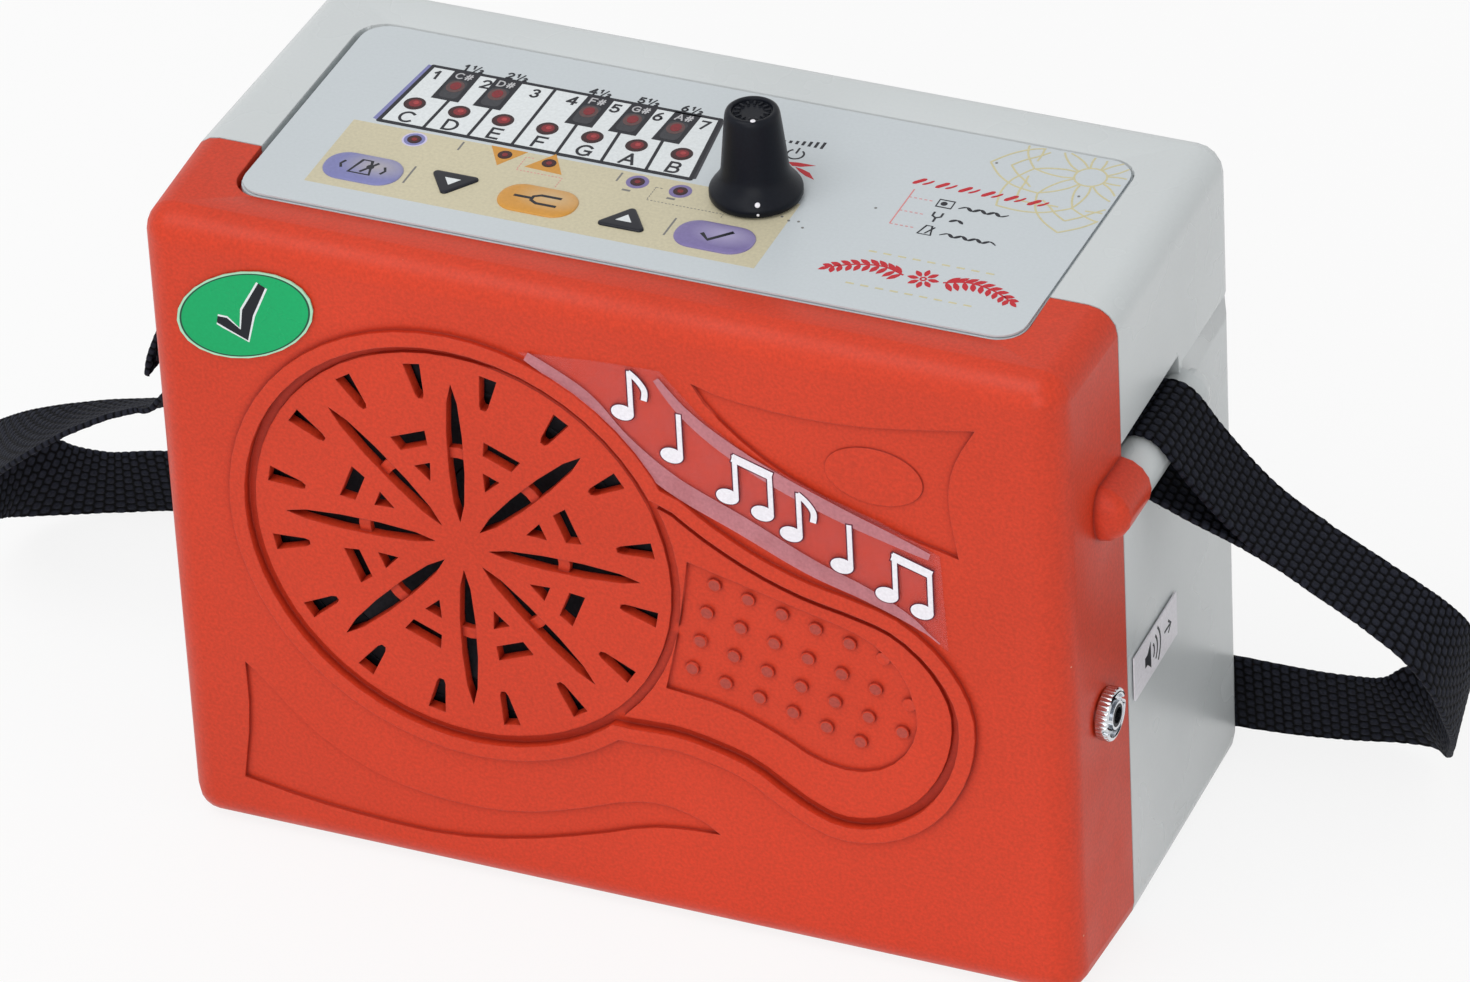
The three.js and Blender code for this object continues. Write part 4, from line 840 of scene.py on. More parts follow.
def edit(piece: Piece) -> None:
    """Opens a piece for editing, with everything selected."""
    pick(piece)
    bpy.ops.object.mode_set(mode="EDIT")
    bpy.ops.mesh.select_all(action="SELECT")


def current() -> Piece:
    """Gives the active object."""
    return bpy.context.view_layer.objects.active


def settle(piece: Piece) -> Piece:
    """Moves a piece's place, turn and scale into its mesh."""
    pick(piece)
    bpy.ops.object.transform_apply(location=True, rotation=True, scale=True)
    return piece


def tidy_mesh(piece: Piece, distance: float = 0.001, outward: bool = True) -> Piece:
    """Merges doubled points and, where asked, turns the faces outwards.

    Args:
        piece: The piece.
        distance: How near doubled points lie.
        outward: Whether its faces are turned.

    Returns:
        The same piece.
    """
    edit(piece)
    bpy.ops.mesh.remove_doubles(threshold=distance * MM)
    if outward:
        bpy.ops.mesh.normals_make_consistent(inside=False)
    rest()
    return piece


def smooth(piece: Piece, degrees: float = 32.0) -> Piece:
    """Shades a piece smooth, with sharp edges past an angle in degrees."""
    pick(piece)
    bpy.ops.object.shade_smooth_by_angle(angle=math.radians(degrees))
    return piece


def apply_all(piece: Piece) -> Piece:
    """Applies every modifier of a piece.

    Args:
        piece: The piece.

    Returns:
        The same piece.
    """
    pick(piece)
    for name in [m.name for m in piece.modifiers]:
        bpy.ops.object.modifier_apply(modifier=name)
    return piece


def joined(pieces: Sequence[Piece], name: str) -> Piece:
    """Joins pieces into the first of them and names it.

    Args:
        pieces: The pieces.
        name: The name of the whole.

    Returns:
        The joined piece.
    """
    pick(pieces[0])
    for piece in pieces[1:]:
        piece.select_set(True)
    if len(pieces) > 1:
        bpy.ops.object.join()
    made = current()
    made.name = name
    made.data.name = name
    return made


def turned(name: str, profile: Sequence[Point], steps: int = 48) -> Piece:
    """Spins a half profile round the upright axis into a closed turned shape.

    Args:
        name: The piece's name.
        profile: Radius and height of each point in millimetres, from axis to axis.
        steps: Sides of the turned shape.

    Returns:
        The turned piece, standing at the origin.
    """
    rest()
    bpy.ops.mesh.primitive_circle_add(vertices=len(profile), radius=MM, fill_type="NOTHING")
    made = current()
    made.name = name
    made.data.name = name
    for vertex, (radius, height) in zip(made.data.vertices, profile):
        vertex.co = (radius * MM, 0.0, height * MM)
    last = len(profile) - 1
    bpy.ops.object.mode_set(mode="EDIT")
    bpy.ops.mesh.select_mode(type="EDGE")
    bpy.ops.mesh.select_all(action="DESELECT")
    bpy.ops.object.mode_set(mode="OBJECT")
    for edge in made.data.edges:
        edge.select = set(edge.vertices) == {0, last}
    bpy.ops.object.mode_set(mode="EDIT")
    bpy.ops.mesh.delete(type="EDGE")
    bpy.ops.mesh.select_mode(type="VERT")
    bpy.ops.mesh.select_all(action="SELECT")
    bpy.ops.mesh.spin(steps=steps, angle=2 * math.pi, center=(0, 0, 0), axis=(0, 0, 1))
    return tidy_mesh(made)


def stand(piece: Piece, at: Vector, tilt: tuple[float, float, float] = (0.0, 0.0, 0.0)) -> Piece:
    """Turns a piece by degrees, moves it to its place in metres and settles it there."""
    piece.rotation_euler = tuple(math.radians(a) for a in tilt)
    piece.location = at
    return settle(piece)


def dressed_copy(node: Piece, name: str, degrees: float = 32.0) -> Piece:
    """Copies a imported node, merges its loose faces and shades it smooth.

    Args:
        node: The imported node.
        name: The copy's name.
        degrees: Edges past this angle stay sharp.

    Returns:
        The copy.
    """
    made = node.copy()
    made.data = node.data.copy()
    for key in list(made.keys()):
        if key.startswith("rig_"):
            del made[key]
    made.parent = None
    made.name = name
    made.data.name = name
    bpy.context.scene.collection.objects.link(made)
    tidy_mesh(made, WELD, outward=False)
    edit(made)
    bpy.ops.mesh.dissolve_limited(angle_limit=math.radians(FLAT_DEGREES), use_dissolve_boundaries=False)
    smooth(made, degrees)
    even = made.modifiers.new("even_shading", "WEIGHTED_NORMAL")
    even.mode = "FACE_AREA"
    even.weight = 100
    even.keep_sharp = True
    return apply_all(made)


def left_of(points: Sequence[Point], closed: bool) -> list[Point]:
    """Gives the sideways direction at each point of a line.

    Args:
        points: The line.
        closed: Whether it ends where it starts.

    Returns:
        A direction of length one for each point.
    """
    count = len(points)
    sides = []
    for i in range(count):
        before = points[i - 1] if i > 0 or closed else points[i]
        after = points[(i + 1) % count] if i + 1 < count or closed else points[i]
        dx, dy = after[0] - before[0], after[1] - before[1]
        length = math.hypot(dx, dy) or 1.0
        sides.append((-dy / length, dx / length))
    return sides


def arc(x: float, y: float, radius: float, start: float, end: float, count: int = 12,
        squash: float = 1.0) -> list[Point]:
    """Gives points on an arc between two angles in degrees, with its height squashed."""
    turns = [math.radians(start + (end - start) * i / (count - 1)) for i in range(count)]
    return [(x + radius * math.cos(a), y + radius * squash * math.sin(a)) for a in turns]


def signs() -> dict[str, tuple[float, list[list[Point]]]]:
    """Gives the width and pen strokes of each printed sign, with its height as one.

    Returns:
        Width and strokes of each sign.
    """
    return {
        "A": (0.8, [[(0, 0), (0.4, 1)], [(0.8, 0), (0.4, 1)], [(0.17, 0.33), (0.63, 0.33)]]),
        "B": (0.68, [[(0, 0), (0, 1)],
                     [(0, 1), (0.36, 1), *arc(0.36, 0.765, 0.235, 80, -80, 7), (0.36, 0.53), (0, 0.53)],
                     [(0.36, 0.53), *arc(0.4, 0.265, 0.265, 80, -80, 7), (0.4, 0), (0, 0)]]),
        "C": (0.8, [arc(0.45, 0.5, 0.44, 46, 314, 16, 1.14)]),
        "D": (0.76, [[(0, 0), (0, 1)],
                     [(0, 1), (0.28, 1), *arc(0.28, 0.5, 0.46, 80, -80, 9, 1.08), (0.28, 0), (0, 0)]]),
        "E": (0.62, [[(0, 0), (0, 1)], [(0, 1), (0.6, 1)], [(0, 0.52), (0.54, 0.52)], [(0, 0), (0.6, 0)]]),
        "F": (0.6, [[(0, 0), (0, 1)], [(0, 1), (0.6, 1)], [(0, 0.5), (0.5, 0.5)]]),
        "G": (0.86, [arc(0.45, 0.5, 0.44, 44, 318, 16, 1.14), [(0.8, 0.12), (0.8, 0.46)],
                     [(0.84, 0.46), (0.5, 0.46)]]),
        "#": (0.7, [[(0.12, 0), (0.28, 1)], [(0.42, 0), (0.58, 1)], [(0, 0.32), (0.66, 0.32)],
                    [(0.04, 0.68), (0.7, 0.68)]]),
        "1": (0.36, [[(0.02, 0.76), (0.26, 1)], [(0.26, 1), (0.26, 0)]]),
        "2": (0.62, [[*arc(0.31, 0.7, 0.29, 160, -20, 9), (0.06, 0.02)], [(0.02, 0), (0.62, 0)]]),
        "3": (0.6, [arc(0.29, 0.76, 0.24, 150, -80, 9), arc(0.29, 0.27, 0.27, 80, -150, 9)]),
        "4": (0.7, [[(0.5, 0), (0.5, 1)], [(0.5, 1), (0, 0.28)], [(0, 0.28), (0.7, 0.28)]]),
        "5": (0.6, [[(0.56, 1), (0.12, 1)], [(0.12, 1), (0.07, 0.54)], arc(0.29, 0.33, 0.31, 132, -150, 11)]),
        "6": (0.62, [arc(0.31, 0.3, 0.29, 0, 360, 15), [(0.03, 0.36), (0.1, 0.62), (0.25, 0.86), (0.44, 1)]]),
        "7": (0.6, [[(0, 1), (0.58, 1)], [(0.58, 1), (0.2, 0)]]),
        "/": (0.5, [[(0, -0.05), (0.5, 1.05)]]),
    }


def curved(points: Sequence[Point], per_span: int = 8) -> list[Point]:
    """Runs a smooth line through points.

    Args:
        points: The points.
        per_span: Steps from one point to the next.

    Returns:
        The points of the smooth line.
    """
    result: list[Point] = []
    last = len(points) - 1
    for i in range(last):
        p0, p1, p2, p3 = points[max(i - 1, 0)], points[i], points[i + 1], points[min(i + 2, last)]
        for k in range(per_span):
            t = k / per_span
            result.append(tuple(
                0.5 * (2 * b + (c - a) * t + (2 * a - 5 * b + 4 * c - d) * t * t
                       + (3 * b - a - 3 * c + d) * t ** 3)
                for a, b, c, d in zip(p0, p1, p2, p3)))
    result.append(tuple(points[-1]))
    return result


def lozenge(width: float, height: float, radius: float, steps: int = 8) -> list[Point]:
    """Gives the outline of a rectangle with round corners, anticlockwise about the origin."""
    x, y = width / 2 - radius, height / 2 - radius
    corners = [(x, y, 0), (-x, y, 90), (-x, -y, 180), (x, -y, 270)]
    return [p for cx, cy, a in corners for p in arc(cx, cy, radius, a, a + 90, steps)]


def anticlockwise(points: Sequence[Point]) -> list[Point]:
    """Gives an outline in the order in which its face looks up."""
    twice = sum(a[0] * b[1] - b[0] * a[1] for a, b in zip(points, [*points[1:], points[0]]))
    return list(points) if twice > 0 else list(reversed(points))


def filled(outline: Sequence[Point]) -> Piece:
    """Fills an outline at height 0.

    Args:
        outline: The outline, anticlockwise.

    Returns:
        The flat piece.
    """
    rest()
    bpy.ops.mesh.primitive_circle_add(vertices=len(outline), radius=MM, fill_type="NGON")
    for vertex, (x, y) in zip(current().data.vertices, outline):
        vertex.co = (x * MM, y * MM, 0.0)
    return current()


class Print:
    """Flat printed shapes, drawn in one plane in millimetres and joined into one thin piece."""

    def __init__(self, name: str, plane: Matrix, finish: Finish, layer: int = 1) -> None:
        """Starts an empty print.

        Args:
            name: The piece's name.
            plane: Where the plane's own X, Y and Z lie on the object, in metres.
            finish: The ink.
            layer: How many coats of ink it stands above the sheet.
        """
        self.name = name
        self.plane = plane
        self.finish = finish
        self.thickness = COAT * layer
        self.parts: list[Piece] = []

    def outline(self, points: Sequence[Point]) -> None:
        """Adds a filled outline, given in either order."""
        self.parts.append(filled(anticlockwise(points)))

    def disc(self, x: float, y: float, radius: float, squash: float = 1.0, sides: int = 28) -> None:
        """Adds a filled disc or oval.

        Args:
            x, y: Its middle.
            radius: Half of its width.
            squash: Its height's share of its width.
            sides: Its corners.
        """
        rest()
        bpy.ops.mesh.primitive_circle_add(vertices=sides, radius=radius * MM, fill_type="NGON",
                                          location=(x * MM, y * MM, 0.0))
        current().scale = (1.0, squash, 1.0)
        self.parts.append(current())

    def ring(self, x: float, y: float, outer: float, inner: float, sides: int = 32) -> None:
        """Adds a flat ring.

        Args:
            x, y: Its middle.
            outer: Its outer radius.
            inner: Its inner radius.
            sides: Its corners.
        """
        rest()
        bpy.ops.mesh.primitive_circle_add(vertices=sides, radius=outer * MM, fill_type="NGON",
                                          location=(x * MM, y * MM, 0.0))
        bpy.ops.object.mode_set(mode="EDIT")
        bpy.ops.mesh.inset(thickness=(outer - inner) * MM)
        bpy.ops.mesh.delete(type="FACE")
        rest()
        self.parts.append(current())

    def stroke(self, points: Sequence[Point], width: float | Sequence[float], closed: bool = False) -> None:
        """Adds a line of one width, or of a width for each point.

        Args:
            points: The line.
            width: Its width, or one for each point.
            closed: Whether it ends where it starts.
        """
        line = [*points, points[0]] if closed else list(points)
        widths = [width] * len(line) if isinstance(width, (int, float)) else list(width)
        sides = left_of(points, closed)
        sides = [*sides, sides[0]] if closed else sides
        rest()
        bpy.ops.mesh.primitive_grid_add(x_subdivisions=len(line) - 1, y_subdivisions=1, size=MM)
        vertices = current().data.vertices
        for i, ((x, y), (nx, ny), wide) in enumerate(zip(line, sides, widths)):
            vertices[i].co = ((x - nx * wide / 2) * MM, (y - ny * wide / 2) * MM, 0.0)
            vertices[i + len(line)].co = ((x + nx * wide / 2) * MM, (y + ny * wide / 2) * MM, 0.0)
        self.parts.append(current())

    def dashes(self, start: Point, end: Point, width: float, dash: float = 0.8) -> None:
        """Adds a dashed straight line.

        Args:
            start, end: Its two ends.
            width: Its width.
            dash: The length of a dash.
        """
        length = math.dist(start, end)
        count = max(1, round(length / (2 * dash)))
        for i in range(count):
            a, b = i / count, (i + 0.55) / count
            self.stroke([tuple(s + (e - s) * t for s, e in zip(start, end)) for t in (a, b)], width)

    def letters(self, text: str, x: float, y: float, size: float, weight: float) -> None:
        """Adds signs drawn with a round pen, centred on a place.

        Args:
            text: The signs.
            x, y: Middle of the text.
            size: Height of a sign.
            weight: Width of the pen.
        """
        drawn = signs()
        gap = weight * 1.7
        left = x - (sum(drawn[sign][0] for sign in text) * size + gap * (len(text) - 1)) / 2
        for sign in text:
            wide, runs = drawn[sign]
            for run in runs:
                line = [(left + u * size, y + (v - 0.5) * size) for u, v in run]
                for tip, nxt in ((0, 1), (-1, -2)):
                    dx, dy = line[tip][0] - line[nxt][0], line[tip][1] - line[nxt][1]
                    reach = weight * 0.45 / math.hypot(dx, dy)
                    line[tip] = (line[tip][0] + dx * reach, line[tip][1] + dy * reach)
                self.stroke(line, weight)
            left += wide * size + gap

    def brush(self, points: Sequence[Point], thin: float, thick: float, nib: float = 35.0) -> None:
        """Adds a smooth line drawn with a broad nib, so that its width follows its direction.

        Args:
            points: Points of the line.
            thin: The nib's thickness.
            thick: The nib's width.
            nib: How the nib is held, in degrees.
        """
        line = curved(points, 7)
        widths = []
        for i, (x, y) in enumerate(line):
            ax, ay = line[max(i - 1, 0)]
            bx, by = line[min(i + 1, len(line) - 1)]
            lean = math.atan2(by - ay, bx - ax) - math.radians(nib)
            taper = min(1.0, 0.25 + 4 * min(i, len(line) - 1 - i) / len(line))
            widths.append((thin + (thick - thin) * abs(math.sin(lean))) * taper)
        self.stroke(line, widths)

    def finish_on(self, body: str, slot: str, finishes: Finishes) -> Piece:
        """Joins the shapes, gives the ink its thickness and lays it on the object.

        Args:
            body: The body that it rides on.
            slot: The material slot of the part.
            finishes: Where its ink is kept.

        Returns:
            The print.
        """
        for index, part in enumerate(self.parts):
            part.location.z += index % OVERLAP_LEVELS * OVERLAP_STEP * MM
            settle(part)
        made = joined(self.parts, self.name)
        made.matrix_world = self.plane
        settle(made)
        coat = made.modifiers.new("ink", "SOLIDIFY")
        coat.thickness = self.thickness * MM
        coat.offset = 1.0
        apply_all(made)
        return finishes.fit(made, self.finish, body, slot)


def label_plane(z: float = LABEL_Z) -> Matrix:
    """Gives the plane of the top, where Y is the depth behind the front face."""
    return Matrix.Translation(place(0.0, 0.0, z))


def front_plane(depth: float) -> Matrix:
    """Gives a plane that faces the front, where Y is the height."""
    turn = Matrix(((1, 0, 0), (0, 0, -1), (0, 1, 0))).to_4x4()
    return Matrix.Translation(place(0.0, depth, 0.0)) @ turn


# ---- The object's sub-assemblies ----


@dataclass
class Case:
    """The two shells, the battery lid and the screws, carried over with softened edges."""

    nodes: dict[str, Piece]
    finishes: Finishes
    slots: dict[str, tuple[Finish, str, str]] = field(default_factory=lambda: {
        "front_shell": (Finish.ORANGE_SHELL, CASE, "orange_shell"),
        "rear_shell": (Finish.CREAM_SHELL, CASE, "white_shell"),
        "battery_door": (Finish.CREAM_SHELL, "battery_lid", "white_shell"),
        "speaker_jack": (Finish.CHROME, CASE, "jack_chrome"),
        "power_socket": (Finish.BLACK_PLASTIC, CASE, "black_plastic"),
        "round_sticker": (Finish.GREEN_STICKER, CASE, "green_sticker"),
        "side_sticker": (Finish.WHITE_STICKER, CASE, "white_sticker"),
        "clear_film": (Finish.CLEAR_FILM, CASE, "clear_film"),
    })
    pip_depth: float = 0.1
    pip_radius: float = 1.2
    # Each row's first and last pip as shares of the case's width and height, its pips and how many are whole.
    pip_rows: tuple[tuple[float, float, float, float, int, int], ...] = (
        (0.119, 0.576, 0.299, 0.513, 6, 5), (0.109, 0.528, 0.325, 0.446, 7, 6),
        (0.1, 0.479, 0.316, 0.398, 7, 7), (0.0895, 0.431, 0.27, 0.368, 6, 6))

    def build(self) -> None:
        """Copies each outer node with smooth shading and its finish."""
        for name, (finish, body, slot) in self.slots.items():
            made = dressed_copy(self.nodes[name], f"{name}_moulding")
            self.finishes.fit(made, finish, body, slot, name)
        for i in range(1, 5):
            made = dressed_copy(self.nodes[f"case_screw_{i}"], f"case_screw_{i}_turned")
            self.finishes.fit(made, Finish.ZINC, CASE, "steel", f"case_screw_{i}")
        self.pip_tops()

    def pip_tops(self) -> None:
        """Lays duller, less saturated discs of ink on the tops of the raised pips of the sunk field."""
        tops = Print("front_shell_pip_tops", front_plane(self.pip_depth), Finish.PIP_TOP, 1)
        for x0, z0, x1, z1, count, shown in self.pip_rows:
            for i in range(shown):
                t = i / (count - 1)
                tops.disc(CASE_WIDTH * (x0 + (x1 - x0) * t), CASE_HEIGHT * (z0 + (z1 - z0) * t),
                          self.pip_radius, sides=20)
        tops.finish_on(CASE, "orange_shell", self.finishes)


@dataclass
class Innards:
    """The parts inside the case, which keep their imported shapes."""

    nodes: dict[str, Piece]
    finishes: Finishes
    finish_of: dict[str, Finish] = field(default_factory=lambda: {
        "control_panel": Finish.PANEL_PLATE,
        "panel_overlay": Finish.LABEL_FILM,
        "main_board": Finish.BOARD,
        "board_screw": Finish.STEEL,
        "note_lamps": Finish.LAMP,
        "mark_lamps": Finish.LAMP,
        "volume_potentiometer": Finish.ZINC,
        "potentiometer_": Finish.STEEL,
        "speaker_frame": Finish.BLACK_PLASTIC,
        "speaker_magnet": Finish.ZINC,
        "speaker_surround": Finish.RUBBER,
        "speaker_cone": Finish.PAPER,
        "speaker_dust_cap": Finish.PAPER,
        "speaker_voice_coil": Finish.COPPER,
        "speaker_screw": Finish.STEEL,
        "speaker_lead": Finish.LEAD_RUBBER,
        "battery_cell": Finish.CELL_WRAP,
        "battery_contact": Finish.STEEL,
        "_switch": Finish.BLACK_PLASTIC,
        "_plunger": Finish.NYLON,
    })

    def build(self) -> None:
        """Gives each inner node its finish."""
        for name, node in self.nodes.items():
            if node.hide_render:
                continue
            found = [f for key, f in self.finish_of.items() if key in name]
            if found:
                self.finishes.dress(node, found[0])
            else:
                log.warning("%s has no finish", name)


@dataclass
class Label:
    """The print on the top label: a keyboard, lamp windows and generic ornament."""

    finishes: Finishes
    body: str = CASE
    slot: str = "printed_label"
    key_count: int = 7
    bottom: float = 46.2
    top: float = 68.6
    bottom_left: float = -66.3
    bottom_right: float = 2.3
    top_left: float = -64.2
    top_right: float = -0.6
    notes: str = "CDEFGAB"
    window_depth: float = 54.2
    sharp_depth: float = 62.7
    window_x: tuple[float, ...] = (-61.9, -52.0, -42.3, -32.5, -22.6, -12.9, -3.0)
    sharp_x: tuple[float, ...] = (-56.7, -47.4, -27.1, -17.5, -8.0)
    sharp_names: tuple[str, ...] = ("C#", "D#", "F#", "G#", "A#")
    halves: tuple[tuple[str, float], ...] = (
        ("1", -55.8), ("2", -46.0), ("4", -27.5), ("5", -16.9), ("6", -7.3))
    number_x: tuple[float, ...] = (-62.2, -51.1, -40.2, -31.9, -22.5, -13.0, -2.9)
    marks: tuple[Point, ...] = ((-56.3, 41.8), (-36.6, 42.4), (-26.9, 42.4), (-7.3, 41.8), (2.2, 41.4))

    def sheet(self, name: str, finish: Finish, layer: int) -> Print:
        """Starts a print on the label."""
        return Print(name, label_plane(), finish, layer)

    def done(self, ink: Print) -> None:
        """Finishes a print of the label."""
        ink.finish_on(self.body, self.slot, self.finishes)

    def divider(self, k: int, share: float) -> Point:
        """Gives a point on one of the lines between keys, from the bottom at 0 to the top at 1."""
        low = self.bottom_left + (self.bottom_right - self.bottom_left) * k / self.key_count
        high = self.top_left + (self.top_right - self.top_left) * k / self.key_count
        return low + (high - low) * share, self.bottom + (self.top - self.bottom) * share

    def build(self) -> None:
        """Prints the label."""
        self.keyboard()
        self.windows()
        self.lettering()
        self.function_area()
        self.ornament()

    def keyboard(self) -> None:
        """Prints the white keys, the black keys and the frame."""
        frame = [self.divider(0, 0), self.divider(7, 0), self.divider(7, 1), self.divider(0, 1)]
        white = self.sheet("label_white_keys", Finish.WHITE_INK, 2)
        white.outline(frame)
        self.done(white)
        navy = self.sheet("label_key_lines", Finish.NAVY_INK, 3)
        for a, b, w in ((0, 1, 1.0), (1, 2, 0.9), (2, 3, 0.9), (3, 0, 0.9)):
            navy.stroke([frame[a], frame[b]], w)
        for x, y in frame:
            navy.disc(x, y, 0.48)
        for k in range(1, self.key_count):
            top = 1.0 if k == 3 else 0.5
            navy.stroke([self.divider(k, 0), self.divider(k, top)], 0.7)
        for x in self.sharp_x:
            navy.outline([(x - 3.1, 57.4), (x + 3.0, 57.4), (x + 3.2, self.top), (x - 2.5, self.top)])
        self.done(navy)
        bevel = self.sheet("label_bevel", Finish.LILAC_INK, 2)
        bevel.outline([(self.bottom_left - 1.4, self.bottom + 0.4), (self.bottom_left, self.bottom),
                       (self.top_left, self.top), (self.top_left - 1.2, self.top + 0.2)])
        self.done(bevel)
        shade = self.sheet("label_bevel_shade", Finish.SMOKE_INK, 2)
        shade.outline([(self.bottom_right, self.bottom), (self.bottom_right + 1.0, self.bottom + 0.5),
                       (self.top_right + 0.9, self.top), (self.top_right, self.top)])
        self.done(shade)

    def windows(self) -> None:
        """Prints the lamp windows: black rims, and glows that step from dark to a dull red middle, with a
        painted highlight spot off the middle of each note window.
        """
        rims = self.sheet("label_window_rims", Finish.RIM_INK, 4)
        dusk = self.sheet("label_window_dusk", Finish.DUSK_INK, 5)
        glows = self.sheet("label_window_glows", Finish.GLOW_INK, 6)
        highlights = self.sheet("label_window_highlights", Finish.WINDOW_HIGHLIGHT_INK, 7)
        smoke = self.sheet("label_sharp_windows", Finish.SMOKE_INK, 4)
        tan = self.sheet("label_sharp_dusk", Finish.TAN_INK, 5)
        for x in self.window_x:
            rims.disc(x, self.window_depth, 2.3)
            dusk.disc(x, self.window_depth, 1.8)
            glows.disc(x + 0.1, self.window_depth + 0.1, 1.35)
            # A small brighter spot off the middle of each note window: a painted highlight.
            highlights.disc(x + 0.2, self.window_depth + 0.3, 0.6)
        for x in self.sharp_x:
            smoke.outline([(px + x, py + self.sharp_depth - 1.0) for px, py in lozenge(4.2, 6.9, 1.2, 4)])
            tan.disc(x, self.sharp_depth, 1.9, 1.15)
            glows.disc(x, self.sharp_depth + 0.2, 1.15, 1.25)
        for x, y in self.marks:
            rims.disc(x, y, 1.5)
            dusk.disc(x, y, 1.15)
            glows.disc(x, y, 0.6)
        for ink in (rims, dusk, glows, highlights, smoke, tan):
            self.done(ink)

    def lettering(self) -> None:
        """Prints the note letters and the scale numbers."""
        dark = self.sheet("label_note_names", Finish.NAVY_INK, 4)
        for note, x in zip(self.notes, self.window_x):
            dark.letters(note, x + 0.5, 49.1, 3.5, 0.62)
        for k, x in enumerate(self.number_x):
            dark.letters(str(k + 1), x, 65.6, 2.7, 0.55)
        for whole, x in self.halves:
            dark.letters(whole, x - 1.7, 70.2, 1.9, 0.42)
            dark.letters("1", x - 0.1, 70.7, 1.1, 0.34)
            dark.letters("/", x + 0.75, 70.2, 1.8, 0.26)
            dark.letters("2", x + 1.75, 69.7, 1.0, 0.34)
        self.done(dark)
        pale = self.sheet("label_sharp_names", Finish.ASH_INK, 4)
        for name, x in zip(self.sharp_names, self.sharp_x):
            pale.letters(name, x + 0.2, 66.75, 1.9, 0.36)
        self.done(pale)

    def function_area(self) -> None:
        """Prints the sand area round the keys, with its marks, separators and links."""
        sand = self.sheet("label_sand_area", Finish.SAND_INK, 1)
        sand.outline([(-71.1, 20.8), (27.0, 20.3), (26.7, 44.8), (-71.1, 44.8)])
        self.done(sand)
        for name, finish, layer, marks, radius in (
                ("label_lilac_halo", Finish.PALE_LILAC_INK, 2, self.marks[:1], 2.6),
                ("label_lilac_rings", Finish.LILAC_INK, 3, self.marks[:1], 2.2),
                ("label_violet_rings", Finish.VIOLET_INK, 3, self.marks[3:], 2.35)):
            ring = self.sheet(name, finish, layer)
            for x, y in marks:
                ring.disc(x, y, radius)
            self.done(ring)
        orange = self.sheet("label_tune_marks", Finish.APRICOT_INK, 3)
        orange.outline([(-40.6, 44.8), (-36.6, 38.4), (-32.6, 44.8)])
        orange.outline([(-31.1, 39.7), (-22.8, 39.3), (-26.9, 46.0)])
        self.done(orange)
        grey = self.sheet("label_separators", Finish.GREY_INK, 2)
        for x, low, high in ((-46.4, 41.0, 44.2), (-51.8, 26.3, 32.7), (-11.5, 40.8, 44.0),
                             (5.3, 25.6, 32.1)):
            grey.stroke([(x, low), (x, high)], 0.42)
        for x in (-8.3, 1.4):
            grey.stroke([(x - 0.9, 38.3), (x + 0.9, 38.3)], 0.6)
        for start, end in (((-3.0, 41.2), (-1.2, 41.2)), ((-3.0, 41.2), (-3.0, 36.4)),
                           ((-3.0, 36.4), (13.6, 36.4)), ((13.6, 36.4), (13.6, 34.8))):
            grey.dashes(start, end, 0.18, 0.4)
        for x, y in ((26.8, 38.5), (28.8, 38.8), (30.4, 37.0), (41.4, 48.4), (58.0, 71.6), (78.0, 65.4),
                     (25.0, 39.4)):
            grey.disc(x, y, 0.3, 1.0, 10)
        self.done(grey)
        link = self.sheet("label_tune_links", Finish.CORAL_INK, 2)
        for start, end in (((-30.5, 43.1), (-32.2, 43.1)), ((-32.2, 43.1), (-32.2, 38.2)),
                           ((-32.2, 38.2), (-22.2, 38.2)), ((-22.2, 38.2), (-22.2, 34.4))):
            link.dashes(start, end, 0.18, 0.4)
        self.done(link)

    def ornament(self) -> None:
        """Prints the power mark, the level wedges, the red ornament and the lotus."""
        dark = self.sheet("label_power_mark", Finish.NAVY_INK, 2)
        dark.stroke(arc(18.6, 61.6, 1.75, 125, 415, 22), 0.42)
        dark.stroke([(18.6, 61.9), (18.6, 64.0)], 0.42)
        for i in range(7):
            dark.stroke([(14.6 + 1.35 * i, 65.1), (14.6 + 1.35 * i, 65.7 + 0.3 * i)], 0.6)
        for mark, (y, end) in enumerate(((53.9, 69.2), (48.9, 61.6), (43.8, 70.2))):
            self.small_mark(dark, mark, 54.0, y)
            waves = round((end - 57.0) / 1.5)
            wave = [(57.0 + 1.5 * i, y + (0.45 if i % 2 else -0.45)) for i in range(waves)]
            dark.brush(wave, 0.3, 1.0, 0.0)
        self.done(dark)
        red = self.sheet("label_red_print", Finish.RED_INK, 2)
        red.outline([(18.4, 58.5), (20.4, 58.9), (24.1, 58.9), (21.4, 57.6), (19.6, 57.4)])
        red.outline([(20.4, 57.2), (22.0, 56.9), (24.0, 56.1), (25.8, 54.0), (23.6, 54.8), (21.7, 56.0)])
        self.crown(red)
        self.branches(red)
        self.done(red)
        pink = self.sheet("label_red_lines", Finish.CORAL_INK, 2)
        pink.stroke([(46.1, 57.3), (46.1, 44.2)], 0.28)
        for y in (54.4, 49.3, 44.2):
            pink.dashes((46.1, y), (51.6, y), 0.22, 0.6)
        self.done(pink)
        gold = self.sheet("label_gold_print", Finish.GOLD_INK, 1)
        for x, y in ((46.0, 33.6), (46.0, 21.6)):
            gold.dashes((x, y), (x + 28.0, y), 0.45, 1.6)
        self.lotus(gold)
        self.done(gold)

